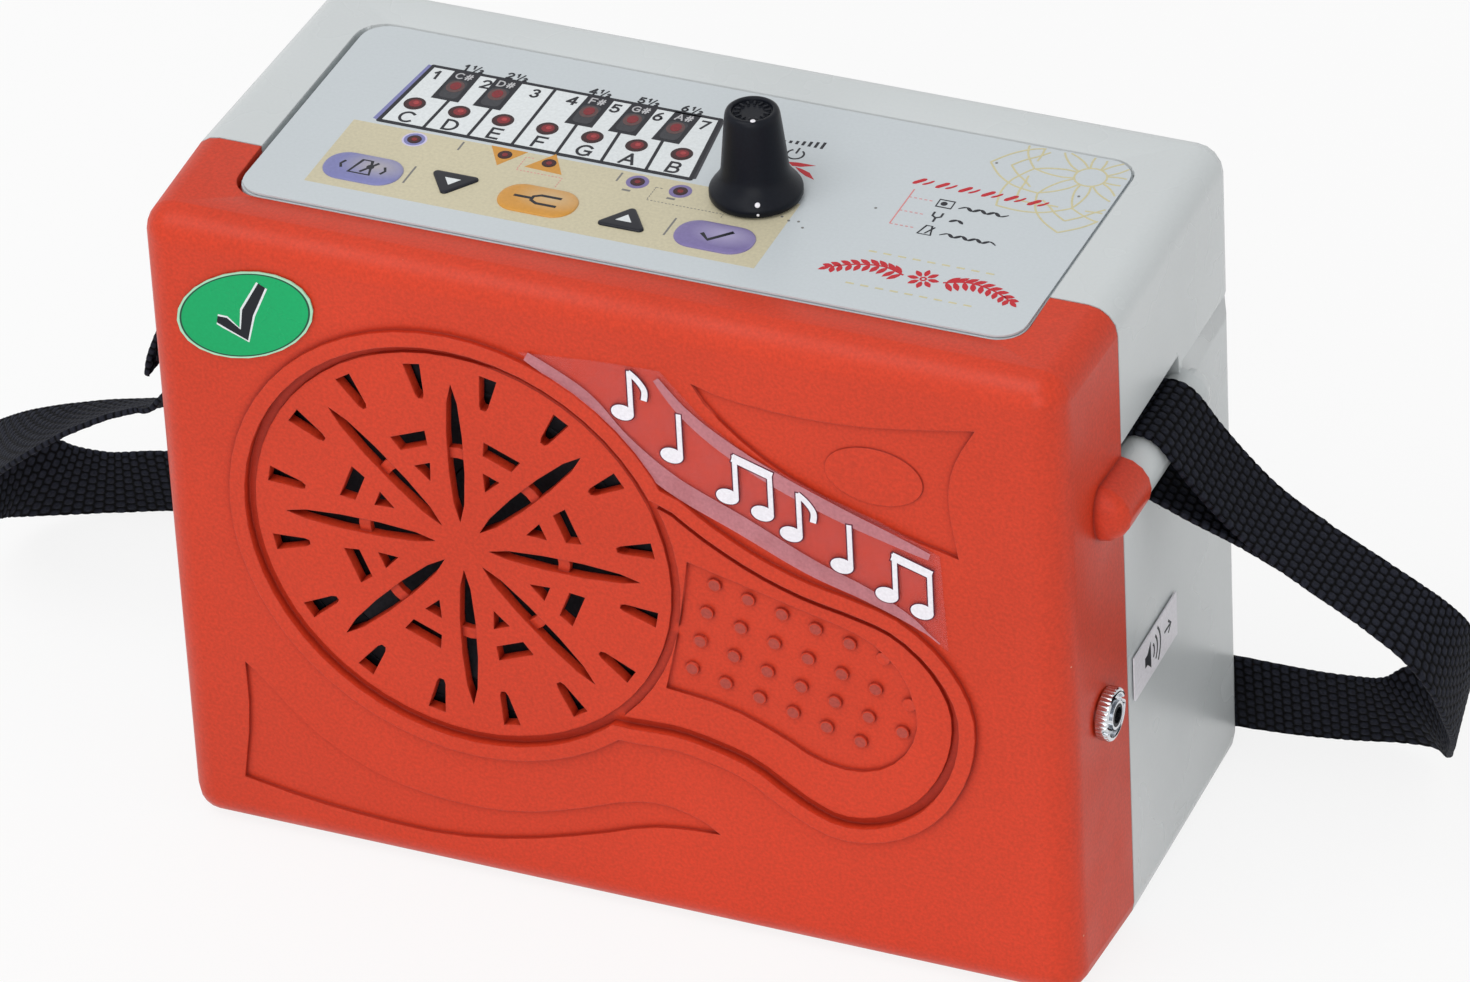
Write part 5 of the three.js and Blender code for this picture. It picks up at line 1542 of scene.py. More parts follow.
    @staticmethod
    def crown(ink: Print) -> None:
        """Draws a row of pen lozenges and commas over the three pictures.

        Args:
            ink: The print that it goes into.
        """
        for i in range(6):
            x = 45.8 + 4.9 * i
            ink.brush([(x - 0.9, 59.2), (x + 0.2, 60.4), (x + 1.3, 61.6)], 0.25, 1.0, 125.0)
            ink.brush([(x + 1.1, 59.4), (x + 2.2, 60.3), (x + 3.0, 61.4)], 0.2, 0.55, 125.0)

    @staticmethod
    def small_mark(ink: Print, kind: int, x: float, y: float) -> None:
        """Draws a drone box, a tuning fork or a metronome.

        Args:
            ink: The print that it goes into.
            kind: 0, 1 or 2 for the three.
            x, y: Its middle.
        """
        if kind == 0:
            box = [(x - 1.6, y - 1.0), (x + 1.6, y - 1.0), (x + 1.6, y + 1.6), (x - 1.6, y + 1.6)]
            ink.stroke(box, 0.4, True)
            ink.disc(x - 0.3, y + 0.3, 0.7)
        elif kind == 1:
            ink.stroke([(x, y - 1.5), (x, y)], 0.45)
            ink.stroke([(x - 0.9, y + 2.0), (x - 0.9, y + 0.6), (x, y), (x + 0.9, y + 0.6),
                        (x + 0.9, y + 2.0)], 0.45)
        else:
            case = [(x - 1.4, y - 1.2), (x + 1.4, y - 1.2), (x + 0.6, y + 2.0), (x - 0.6, y + 2.0)]
            ink.stroke(case, 0.4, True)
            ink.stroke([(x, y - 0.8), (x + 1.3, y + 1.8)], 0.35)

    @staticmethod
    def branches(ink: Print) -> None:
        """Draws a divider ornament: a small rosette with a leafy branch to each side.

        Args:
            ink: The print that it goes into.
        """
        cx, cy = 60.0, 27.6

        def leaf(x: float, y: float, lean: float, length: float, width: float) -> None:
            """Draws one pointed leaf from its foot.

            Args:
                x, y: Its foot.
                lean: The way that it points, in degrees.
                length: Its length.
                width: Its width.
            """
            turn = math.radians(lean)
            shape = [(0.0, 0.0), (0.25, -0.38), (0.55, -0.5), (0.8, -0.3), (1.0, 0.0), (0.8, 0.3),
                     (0.55, 0.5), (0.25, 0.38)]
            ink.outline([(x + u * length * math.cos(turn) - v * width * math.sin(turn),
                          y + u * length * math.sin(turn) + v * width * math.cos(turn)) for u, v in shape])

        for i in range(8):
            turn = math.pi * i / 4
            leaf(cx + 0.9 * math.cos(turn), cy + 0.9 * math.sin(turn), 45.0 * i, 2.5, 1.2)
        ink.ring(cx, cy, 0.75, 0.35, 20)
        for side in (-1, 1):
            stem = curved([(cx + side * 4.2, cy), (cx + side * 9.0, cy + 1.6), (cx + side * 14.5, cy + 0.6),
                           (cx + side * 19.0, cy - 1.8)], 6)
            ink.stroke(stem, 0.4)
            for k, spot in enumerate(stem[1:-1:2]):
                for bend in (-1, 1):
                    lean = 50.0 * bend - 6.0 * k
                    leaf(*spot, lean if side > 0 else 180.0 - lean, 3.4 - 0.14 * k, 1.25)
            leaf(*stem[-1], -40.0 if side > 0 else 220.0, 2.6, 1.1)

    @staticmethod
    def lotus(ink: Print) -> None:
        """Draws an eight petal lotus that the label's corner cuts off.

        Args:
            ink: The print that it goes into.
        """
        cx, cy = 77.7, 72.7

        def inside(points: Sequence[Point]) -> list[list[Point]]:
            """Splits a line where it leaves the label.

            Args:
                points: The line.

            Returns:
                The runs that stay on the label.
            """
            runs: list[list[Point]] = [[]]
            for x, y in points:
                cut_off = x > 80.5 and y > 75.4 and math.hypot(x - 80.5, y - 75.4) > 4.6
                if x < 84.9 and y < 79.8 and not cut_off:
                    runs[-1].append((x, y))
                elif runs[-1]:
                    runs.append([])
            return [run for run in runs if len(run) > 2]

        star = ((3.5, 19.0), (6.0, 13.5), (9.0, 6.0), (11.6, 0.0))
        petal = ((21.0, 0.0), (18.4, 12.5), (15.9, 25.0), (13.4, 36.0), (11.8, 45.0))
        inner = ((16.6, 0.0), (14.8, 10.0), (13.2, 20.0), (12.4, 32.0))
        lines = [arc(cx, cy, 3.3, 0, 360, 30)]
        for k in range(8):
            for side in (-1, 1):
                for course in (star, petal, inner):
                    turns = [(reach, math.radians(45 * k + 3 + side * lean)) for reach, lean in course]
                    lines.append(curved([(cx + r * math.cos(a), cy + r * math.sin(a)) for r, a in turns], 7))
        for line in lines:
            for run in inside(line):
                ink.stroke(run, 0.42)


@dataclass
class KeyRow:
    """The five keys: pillows of printed film over their stems."""

    finishes: Finishes
    ovals: tuple[tuple[str, Finish, str], ...] = (
        ("metronome", Finish.METRONOME_KEY, "lilac_key"),
        ("fine_tune", Finish.FINE_TUNE_KEY, "orange_key"),
        ("select", Finish.SELECT_KEY, "purple_key"),
    )
    arrows: tuple[tuple[str, int], ...] = (("pitch_down", -1), ("pitch_up", 1))
    corner: float = 4.6
    # How deep a cap's wall stands in the panel, the stem's radius and how far it reaches into the cap.
    sunk: float = 1.3
    stem_radius: float = 2.0
    stem_end: float = 0.6
    # The middles of an arrow's round corners, across and along, and their radius.
    arrow_half: Point = (4.0, 2.8)
    arrow_corner: float = 0.9
    soft_roll: tuple[Point, ...] = ((0.05, 0.12), (0.13, 0.1), (0.3, 0.08), (0.6, 0.06), (0.9, 0.04))
    tight_roll: tuple[Point, ...] = ((0.06, 0.13), (0.12, 0.09), (0.2, 0.05), (0.25, 0.02))

    @staticmethod
    def middle(name: str) -> tuple[float, float, float, float, float]:
        """Gives a key's place in width and depth, its top's height, its length and its width."""
        low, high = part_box(f"{name}_key")
        return ((low.x + high.x) / 2 / MM, (low.y + high.y) / 2 / MM - FRONT_Y, high.z / MM,
                (high.x - low.x) / MM, (high.y - low.y) / MM)

    def cap(self, name: str, outline: Sequence[Point], roll: Sequence[Point]) -> Piece:
        """Models a key cap with a rolled edge and its stem.

        Args:
            name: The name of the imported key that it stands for.
            outline: The cap's outline about its middle, anticlockwise.
            roll: Inset and rise of each step of the rolled edge.

        Returns:
            The cap with its stem, in place.
        """
        x, depth, high, _, _ = self.middle(name)
        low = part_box(f"{name}_key")[0].z / MM
        floor = LABEL_Z - self.sunk
        cap = filled(outline)
        wall = high - floor - sum(rise for _, rise in roll)
        bpy.ops.object.mode_set(mode="EDIT")
        bpy.ops.mesh.select_all(action="SELECT")
        bpy.ops.mesh.extrude_region_move(TRANSFORM_OT_translate={"value": (0, 0, wall * MM)})
        for inset, rise in roll:
            bpy.ops.mesh.inset(thickness=inset * MM, depth=rise * MM)
        rest()
        cap.location = (0, 0, floor * MM)
        settle(cap)
        wide, end = self.stem_radius, floor + self.stem_end
        stem = turned("stem", [(0, low), (wide, low), (wide, end), (0, end)], 20)
        made = joined([cap, stem], f"{name}_cap")
        tidy_mesh(made)
        made.location = place(x, depth, 0.0)
        settle(made)
        return smooth(made, 40)

    def build(self) -> None:
        """Models the keys and prints their marks."""
        for name, finish, slot in self.ovals:
            _, _, _, length, width = self.middle(name)
            made = self.cap(name, lozenge(length, width, self.corner, 9), self.soft_roll)
            self.finishes.fit(made, finish, f"{name}_button", slot, f"{name}_key")
        for name, way in self.arrows:
            x, depth, top, _, _ = self.middle(name)
            u, v = self.arrow_half
            centres = [(-u, -v * way), (u, -v * way), (0.0, v * way)]
            made = self.cap(name, self.rounded(centres, self.arrow_corner), self.tight_roll)
            self.finishes.fit(made, Finish.ARROW_KEY, f"{name}_button", "black_key", f"{name}_key")
            hole = self.sheet(name, top, Finish.WHITE_INK)
            hole.outline([(x - 1.75, depth - 1.5 * way), (x + 1.75, depth - 1.5 * way), (x, depth + way)])
            hole.finish_on(f"{name}_button", "printed_label", self.finishes)
        self.marks()

    @staticmethod
    def rounded(centres: Sequence[Point], radius: float) -> list[Point]:
        """Rounds the corners of a triangle.

        Args:
            centres: The middle of each round corner.
            radius: The corners' radius.

        Returns:
            The outline.
        """
        ordered = anticlockwise(centres)
        result: list[Point] = []
        for i, (x, y) in enumerate(ordered):
            ax, ay = ordered[i - 1]
            bx, by = ordered[(i + 1) % 3]
            start = math.degrees(math.atan2(ax - x, y - ay))
            end = math.degrees(math.atan2(x - bx, by - y))
            result += arc(x, y, radius, start, start + (end - start) % 360, 7)
        return result

    @staticmethod
    def sheet(name: str, top: float, finish: Finish = Finish.NAVY_INK) -> Print:
        """Starts the print on a key whose top is this high."""
        return Print(f"{name}_mark", label_plane(top - 0.01), finish, 2)

    def marks(self) -> None:
        """Prints a small sign on each oval key."""
        x, y, top, _, _ = self.middle("metronome")
        beat = self.sheet("metronome", top)
        case = [(x - 2.3, y - 2.3), (x + 2.3, y - 2.3), (x + 1.0, y + 2.6), (x - 1.0, y + 2.6)]
        beat.stroke(case, 0.65, True)
        beat.stroke([(x, y - 1.7), (x + 2.6, y + 2.3)], 0.6)
        beat.disc(x + 1.4, y + 0.5, 0.8)
        for side in (-1, 1):
            beat.stroke([(x + side * 4.3, y - 1.3), (x + side * 4.9, y), (x + side * 4.3, y + 1.3)], 0.55)
        beat.finish_on("metronome_button", "printed_label", self.finishes)
        x, y, top, _, _ = self.middle("fine_tune")
        fork = self.sheet("fine_tune", top)
        fork.stroke([(x - 5.2, y), (x - 1.2, y)], 0.75)
        fork.stroke([(x + 4.6, y + 1.5), (x + 0.2, y + 1.5), (x - 1.2, y + 0.7), (x - 1.2, y - 0.7),
                     (x + 0.2, y - 1.5), (x + 4.6, y - 1.5)], 0.75)
        fork.finish_on("fine_tune_button", "printed_label", self.finishes)
        x, y, top, _, _ = self.middle("select")
        tick = self.sheet("select", top)
        tick.stroke([(x - 2.8, y + 0.2), (x - 0.8, y - 1.8), (x + 3.2, y + 2.3)], 0.9)
        tick.finish_on("select_button", "printed_label", self.finishes)


@dataclass
class VolumeKnob:
    """The black volume knob with its turned body, ribs in its sunk top, and white dots."""

    finishes: Finishes
    x: float = 17.1
    depth: float = 45.1
    steps: int = 96
    profile: tuple[Point, ...] = (
        (0, 15.4), (3.3, 15.4), (3.3, 4.2), (6.9, 4.2), (6.9, 0.4), (9.05, 0.4), (9.35, 0.55), (9.5, 0.9),
        (9.5, 1.9), (9.38, 2.25), (9.1, 2.7), (8.65, 3.3), (8.15, 3.95), (7.7, 4.6), (7.32, 5.3), (7.05, 6.0),
        (6.88, 6.8), (6.75, 7.8), (6.45, 11.0), (6.1, 14.5), (5.78, 17.5), (5.6, 19.0), (5.5, 19.5),
        (5.3, 19.95), (4.95, 20.22), (4.6, 20.3), (4.25, 20.2), (4.1, 19.95), (4.05, 19.55), (0, 19.55))
    ribs: int = 14
    rib_size: Size = (1.3, 0.55, 0.62)
    rib_edge: float = 0.16
    rib_reach: float = 3.1
    rib_height: float = 19.68
    dot_turn: float = 155.0
    # Each dot's distance from the axis, height, radius, squash and tilt in degrees.
    dots: tuple[tuple[float, float, float, Size, float], ...] = (
        (4.5, 20.28, 0.55, (1.0, 1.0, 0.3), 0.0), (8.75, 3.2, 0.55, (0.45, 1.0, 1.0), 38.0),
        (9.48, 1.3, 0.3, (0.45, 1.0, 1.0), 0.0))

    def build(self) -> None:
        """Turns the knob and sets its ribs and dots."""
        knob = turned("volume_knob_turned", self.profile, self.steps)
        ribs = []
        for i in range(self.ribs):
            rest()
            bpy.ops.mesh.primitive_cube_add(size=1.0)
            rib = current()
            rib.scale = [size * MM for size in self.rib_size]
            settle(rib)
            bevel = rib.modifiers.new("edges", "BEVEL")
            bevel.width = self.rib_edge * MM
            bevel.segments = 2
            apply_all(rib)
            angle = 2 * math.pi * i / self.ribs
            rib.rotation_euler = (0, 0, angle)
            reach = self.rib_reach * MM
            rib.location = (reach * math.cos(angle), reach * math.sin(angle), self.rib_height * MM)
            settle(rib)
            ribs.append(rib)
        knob = joined([knob, *ribs], "volume_knob_turned")
        knob.location = place(self.x, self.depth, LABEL_Z)
        settle(knob)
        smooth(knob, 38)
        self.finishes.fit(knob, Finish.KNOB, "volume_control", "knob_black", "volume_knob")
        self.pointer()

    def pointer(self) -> None:
        """Sets the white pointer dots on the rim and on the skirt."""
        angle = math.radians(90 - self.dot_turn)
        balls = []
        for radius, height, size, squash, tilt in self.dots:
            rest()
            bpy.ops.mesh.primitive_uv_sphere_add(segments=20, ring_count=12, radius=size * MM)
            dot = current()
            dot.scale = squash
            dot.rotation_euler = (0, -math.radians(tilt), angle)
            dot.location = place(self.x + radius * math.cos(angle), self.depth + radius * math.sin(angle),
                                 LABEL_Z + height)
            settle(dot)
            balls.append(dot)
        made = joined(balls, "volume_knob_dots")
        smooth(made, 60)
        self.finishes.fit(made, Finish.SNOW_INK, "volume_control", "white_sticker")


@dataclass
class JackNut:
    """The knurled nut of the side socket, with a driver slot across it."""

    finishes: Finishes
    depth: float = 17.0
    height: float = 62.0
    teeth: int = 36
    knurl: float = 0.3
    # Points further out than this take the knurl.
    knurl_from: float = 5.45
    slot_turn: float = 100.0
    slot_half: float = 0.85
    slot_floor: float = 1.7
    bush_inner: float = 1.82
    bush_outer: float = 2.45
    bush_proud: float = 0.06
    profile: tuple[Point, ...] = (
        (3.3, 0.0), (5.3, 0.0), (5.6, 0.25), (5.6, 2.2), (5.35, 2.5), (5.1, 2.62), (4.7, 2.7), (4.35, 2.55),
        (4.2, 1.7), (3.3, 1.7))

    def build(self) -> None:
        """Turns the nut, cuts its knurl and sinks its slot."""
        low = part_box("jack_nut")[0]
        loop = [*self.profile, self.profile[0]]
        nut = turned("jack_nut_knurled", loop, self.teeth * 4)
        for vertex in nut.data.vertices:
            radius = math.hypot(vertex.co.x, vertex.co.y) / MM
            turn = math.atan2(vertex.co.y, vertex.co.x)
            if radius > self.knurl_from:
                cut = 1 - self.knurl / radius * (0.5 - 0.5 * math.cos(self.teeth * turn)) ** 0.7
                vertex.co.x *= cut
                vertex.co.y *= cut
            offset = radius * math.sin(turn - math.radians(self.slot_turn))
            if vertex.co.z > self.slot_floor * MM and abs(offset) < self.slot_half:
                vertex.co.z = self.slot_floor * MM
        nut.rotation_euler = (0, math.radians(90), 0)
        nut.location = Vector((low.x, place(0, self.depth, 0).y, self.height * MM))
        settle(nut)
        smooth(nut, 30)
        self.finishes.fit(nut, Finish.CHROME, CASE, "jack_chrome", "jack_nut")
        self.bush()

    def bush(self) -> None:
        """Sets the dark insulating ring round the socket's bore."""
        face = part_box("speaker_jack")[1].x
        inner, outer, proud = self.bush_inner, self.bush_outer, self.bush_proud
        loop = [(inner, 0.0), (outer, 0.0), (outer - 0.05, proud), (inner, proud), (inner, 0.0)]
        ring = turned("jack_bush", loop, 40)
        stand(ring, Vector((face, place(0, self.depth, 0).y, self.height * MM)), (0, 90, 0))
        smooth(ring, 30)
        self.finishes.fit(ring, Finish.BLACK_PLASTIC, CASE, "black_plastic")


@dataclass
class Stickers:
    """What is printed on the oval sticker, the side sticker and the clear film."""

    finishes: Finishes
    # How far the side sticker's ends stand apart in width and depth, and its face's distance from its middle.
    side_lean: Point = (1.25, 64.8)
    side_face: float = 0.155

    def build(self) -> None:
        """Prints the tick, the speaker sign and the notes."""
        self.tick()
        self.speaker_sign()
        self.film()

    def tick(self) -> None:
        """Prints a tick on the oval sticker: a pale rim, and a dark stroke that widens to its tip."""
        cx, cy = OVAL_CENTRE
        turn = math.radians(OVAL_TURN)
        points = [(-6.6, 0.6), (-5.2, -0.4), (-2.4, -4.2), (1.0, 0.4), (7.4, 5.4)]
        widths = [1.6, 2.4, 2.7, 2.5, 1.7]
        line = [(cx + u * math.cos(turn) - v * math.sin(turn), cy + u * math.sin(turn) + v * math.cos(turn))
                for u, v in points]
        for name, finish, layer, extra in (("rim", Finish.WHITE_INK, 1, 0.9),
                                           ("stroke", Finish.NAVY_INK, 2, 0.0)):
            ink = Print(f"oval_sticker_tick_{name}", front_plane(STICKER_DEPTH), finish, layer)
            ink.stroke(line, [width + extra for width in widths])
            ink.finish_on(CASE, "printed_label", self.finishes)

    def speaker_sign(self) -> None:
        """Prints a loudspeaker sign on the side sticker."""
        low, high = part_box("side_sticker")
        middle = (low + high) / 2
        turn = Matrix(((0, 0, 1), (1, 0, 0), (0, 1, 0))).to_4x4()
        tip = Matrix.Rotation(math.atan2(*self.side_lean), 4, "Z")
        spot = Vector((middle.x + self.side_face * MM, middle.y, middle.z))
        plane = Matrix.Translation(spot) @ tip @ turn
        ink = Print("side_sticker_sign", plane, Finish.NAVY_INK, 1)
        ink.outline([(-6.4, -1.2), (-5.0, -1.2), (-3.0, -3.2), (-3.0, 3.2), (-5.0, 1.2), (-6.4, 1.2)])
        for radius in (2.4, 4.2, 6.0):
            ink.stroke(arc(-3.4, 0.0, radius, -42, 42, 12), 0.6)
        ink.stroke([(5.0, 0.0), (8.6, 0.0)], 0.6)
        ink.stroke([(7.2, 1.5), (8.8, 0.0), (7.2, -1.5)], 0.6)
        ink.finish_on(CASE, "printed_label", self.finishes)

    def film(self) -> None:
        """Prints white notes along the clear film, with milky bands along its edges."""
        haze = Print("clear_film_haze", front_plane(STICKER_DEPTH), Finish.MILKY_FILM, 1)
        low_edge = curved([(-14.0, 133.5), (-2.0, 126.5), (6.0, 117.5), (16.5, 109.5), (31.0, 103.0),
                           (45.0, 96.5), (57.0, 92.5), (66.0, 88.5), (72.5, 84.0)], 6)
        count = len(low_edge)
        swell = [math.sin(math.pi * min(1.0, 0.08 + i / count)) ** 0.6 for i in range(count)]
        haze.stroke(low_edge, [0.4 + 4.2 * part for part in swell])
        high_edge = curved([(14.0, 134.0), (19.5, 127.5), (27.5, 121.5), (39.0, 115.5), (52.0, 110.5),
                            (63.0, 107.0), (71.0, 104.5)], 6)
        count = len(high_edge)
        swell = [math.sin(math.pi * (0.05 + 0.9 * i / count)) for i in range(count)]
        haze.stroke(high_edge, [1.0 + 2.6 * part for part in swell])
        haze.finish_on(CASE, "clear_film", self.finishes)
        spots = [(6.4, 124.6, 0), (16.6, 116.6, 1), (28.2, 109.4, 2), (41.6, 103.4, 0), (52.2, 98.2, 1),
                 (61.6, 93.4, 2)]
        for name, finish, layer, extra in (("edges", Finish.PLUM_INK, 2, 0.55),
                                           ("faces", Finish.SNOW_INK, 3, 0.0)):
            notes = Print(f"clear_film_notes_{name}", front_plane(STICKER_DEPTH), finish, layer)
            for x, y, kind in spots:
                self.note(notes, x, y, kind, extra)
            notes.finish_on(CASE, "printed_label", self.finishes)

    @staticmethod
    def note(ink: Print, x: float, y: float, kind: int, extra: float) -> None:
        """Draws a quaver, a crotchet or a pair of quavers.

        Args:
            ink: The print that it goes into.
            x, y: The first head's middle.
            kind: 0, 1 or 2 for the three.
            extra: How much wider every line is.
        """
        heads = [(x, y)] if kind < 2 else [(x, y), (x + 7.4, y - 2.4)]
        for hx, hy in heads:
            ink.disc(hx, hy, 2.45 + extra / 2, 0.74)
            ink.stroke([(hx + 1.9, hy), (hx + 1.9, hy + 10.2 + extra / 2)], 1.05 + extra)
        if kind == 0:
            flag = [(x + 1.7, y + 10.0), (x + 3.6, y + 8.4), (x + 5.0, y + 6.2), (x + 4.8, y + 3.8)]
            ink.stroke(curved(flag), 1.3 + extra)
        if kind == 2:
            ink.stroke([(x + 1.4 - extra / 2, y + 9.6), (x + 9.8 + extra / 2, y + 6.9)], 2.0 + extra)


@dataclass
class CarryingStrap:
    """The webbing strap, woven and sewn to itself round a bar on each side."""

    finishes: Finishes
    width: float = 20.0
    thickness: float = 1.5
    bar_radius: float = 5.5
    bar_x: float = 100.0
    bar_z: float = 108.6
    bar_depth: float = 48.4974
    bar_gap: float = 0.3
    columns: int = 8
    brick: float = WEAVE_ROW
    relief: float = 0.36
    rows: int = 1098
    # How far the edges wave, and from where across the strap they do.
    ripple: float = 0.3
    ripple_from: float = 9.2
    # Each sewn box: its start and end from the strap's end, half of its width and the stitches on each line.
    seam: Point = (2.5, 15.5)
    seam_half: float = 7.2
    seam_steps: int = 6
    stitch_size: Size = (1.15, 0.28, 0.22)
    # Places as shares of the case's width, depth and height, each with the strap's twist in right angles.
    right_end: tuple[Share, ...] = (
        (0.6575, 0.5598, 0.5627, 1), (0.5925, 0.542, 0.6117, 1), (0.5375, 0.5206, 0.65, 1))
    route: tuple[Share, ...] = (
        (0.548, 0.5164, 0.7107, 1), (0.575, 0.5238, 0.6653, 1), (0.6065, 0.5312, 0.6213, 1),
        (0.655, 0.5344, 0.5773, 1), (0.725, 0.5344, 0.526, 1.02), (0.77, 0.5397, 0.4853, 1.06),
        (0.7935, 0.5714, 0.4333, 1.14), (0.797, 0.6402, 0.3633, 1.28), (0.785, 0.7407, 0.2933, 1.44),
        (0.759, 0.855, 0.2207, 1.62), (0.732, 0.963, 0.1593, 1.82), (0.7025, 1.0455, 0.1133, 1.98),
        (0.672, 1.0899, 0.0827, 2.12), (0.6375, 1.0942, 0.07, 2.18), (0.58, 1.0751, 0.0677, 2.15),
        (0.4725, 1.0571, 0.0687, 2.09), (0, 1.0561, 0.0687, 2.06), (-0.5, 1.0582, 0.0687, 2.1),
        (-0.675, 1.054, 0.0673, 2.15), (-0.75, 1.0286, 0.066, 2.2), (-0.81, 0.9778, 0.066, 2.21),
        (-0.8575, 0.9122, 0.083, 2.12), (-0.8865, 0.8339, 0.117, 1.9), (-0.895, 0.7492, 0.1467, 1.64),
        (-0.88, 0.6667, 0.1987, 1.43), (-0.85, 0.6032, 0.2507, 1.27), (-0.81, 0.5577, 0.302, 1.14),
        (-0.7625, 0.5344, 0.348, 1), (-0.7125, 0.5302, 0.386, 0.86), (-0.6625, 0.5291, 0.416, 0.75),
        (-0.6125, 0.528, 0.4453, 0.68), (-0.59, 0.5259, 0.4867, 0.78), (-0.574, 0.5228, 0.5333, 0.88),
        (-0.5545, 0.5185, 0.5827, 0.96), (-0.53, 0.5143, 0.626, 1), (-0.506, 0.5132, 0.6573, 1))
    left_end: tuple[Share, ...] = (
        (-0.562, 0.5153, 0.6773, 1), (-0.5865, 0.5185, 0.6133, 1), (-0.602, 0.5217, 0.5627, 1),
        (-0.6065, 0.5228, 0.5347, 1))

    @property
    def flat(self) -> float:
        """Gives half of the strap's width without its round edges."""
        return self.width / 2 - self.thickness * 0.45

    @staticmethod
    def placed(shares: Sequence[Share]) -> list[tuple[Vector, float]]:
        """Turns shares of the case's size into points and twists."""
        return [(place(u * CASE_WIDTH, v * CASE_DEPTH, w * CASE_HEIGHT), twist)
                for u, v, w, twist in shares]

    def wrap(self, side: int, start: float, end: float) -> list[tuple[Vector, float]]:
        """Leads the strap round one bar.

        Args:
            side: 1 for the right bar, -1 for the left one.
            start: The angle in degrees at which it meets the bar.
            end: The angle at which it leaves.

        Returns:
            Its places and twists.
        """
        hug = self.bar_radius + self.bar_gap + self.thickness / 2
        result = []
        for i in range(9):
            a = math.radians(start + (end - start) * i / 8)
            result.append((place(side * self.bar_x + hug * math.cos(a), self.bar_depth,
                                 self.bar_z + hug * math.sin(a)), 1.0))
        return result

    def places(self) -> list[tuple[Vector, float]]:
        """Gives all places of the strap from its right end to its left end."""
        return (self.placed(self.right_end) + self.wrap(1, 240, 42) + self.placed(self.route)
                + self.wrap(-1, 313, 510) + self.placed(self.left_end))

    @staticmethod
    def on_curve(points: Sequence[Vector], t: float) -> tuple[Vector, Vector]:
        """Follows the strap's smooth centre line.

        Args:
            points: The places that it runs through.
            t: How far along it, 0 to 1.

        Returns:
            The point and the direction there.
        """
        last = len(points) - 1
        whole = min(max(t, 0.0), 1.0) * last
        i = min(int(whole), last - 1)
        w = whole - i
        p1, p2 = points[i], points[i + 1]
        p0 = points[i - 1] if i > 0 else p1 * 2 - p2
        p3 = points[i + 2] if i + 2 <= last else p2 * 2 - p1
        d0, d1, d2 = (max((b - a).length_squared ** 0.25, 1e-5) for a, b in ((p0, p1), (p1, p2), (p2, p3)))
        t1 = (p1 - p0) / d0 - (p2 - p0) / (d0 + d1) + (p2 - p1) / d1
        t2 = (p2 - p1) / d1 - (p3 - p1) / (d1 + d2) + (p3 - p2) / d2
        t1 *= d1
        t2 *= d1
        c2 = -3 * p1 + 3 * p2 - 2 * t1 - t2
        c3 = 2 * p1 - 2 * p2 + t1 + t2
        return p1 + t1 * w + c2 * w * w + c3 * w ** 3, (t1 + 2 * c2 * w + 3 * c3 * w * w).normalized()

    def frames(self, count: int) -> list[tuple[Vector, Vector, Vector, Vector]]:
        """Follows the strap in even steps.

        Args:
            count: How many steps.

        Returns:
            Centre, direction, sideways and outward direction at each step.
        """
        rows = self.places()
        points = [p for p, _ in rows]
        result = []
        for i in range(count + 1):
            t = i / count
            spot = t * (len(rows) - 1)
            low = min(int(spot), len(rows) - 2)
            twist = (rows[low][1] + (rows[low + 1][1] - rows[low][1]) * (spot - low)) * math.pi / 2
            centre, along = self.on_curve(points, t)
            across = Vector((0.0, math.sin(twist), -math.cos(twist)))
            across = (across - along * along.dot(across)).normalized()
            result.append((centre, along, across, along.cross(across)))
        return result

    def section(self) -> list[tuple[float, float, int]]:
        """Draws the strap's section, anticlockwise.

        Returns:
            Place across, height and face of each point: 1 above, -1 below and 0 on an edge.
        """
        thick, flat = self.thickness / 2, self.flat
        steps = 4 * self.columns
        top = [(flat * (1 - 2 * i / steps), thick, 1) for i in range(steps + 1)]
        left = [(-flat - thick * 0.9 * math.sin(a), thick * math.cos(a), 0) for a in (0.6, 1.2, 1.94, 2.54)]
        bottom = [(-flat * (1 - 2 * i / steps), -thick, -1) for i in range(steps + 1)]
        right = [(flat + thick * 0.9 * math.sin(a), -thick * math.cos(a), 0) for a in (0.6, 1.2, 1.94, 2.54)]
        return top + left + bottom + right

    def woven(self, a: float, face: int, run: float) -> float:
        """Tells how far the weave dips below the strap's face.

        Args:
            a: The place across the strap.
            face: 1 or -1 on its faces, 0 on its edges.
            run: The place along it.

        Returns:
            0 on the yarn and 1 in the gaps.
        """
        row = math.floor(run / self.brick)
        across = (a + self.flat) / (2 * self.flat) * self.columns + 0.5 * (row % 2)
        rise = abs(math.sin(math.pi * across)) * math.sin(math.pi * (run / self.brick - row))
        return abs(face) * (1.0 - rise ** 0.6)

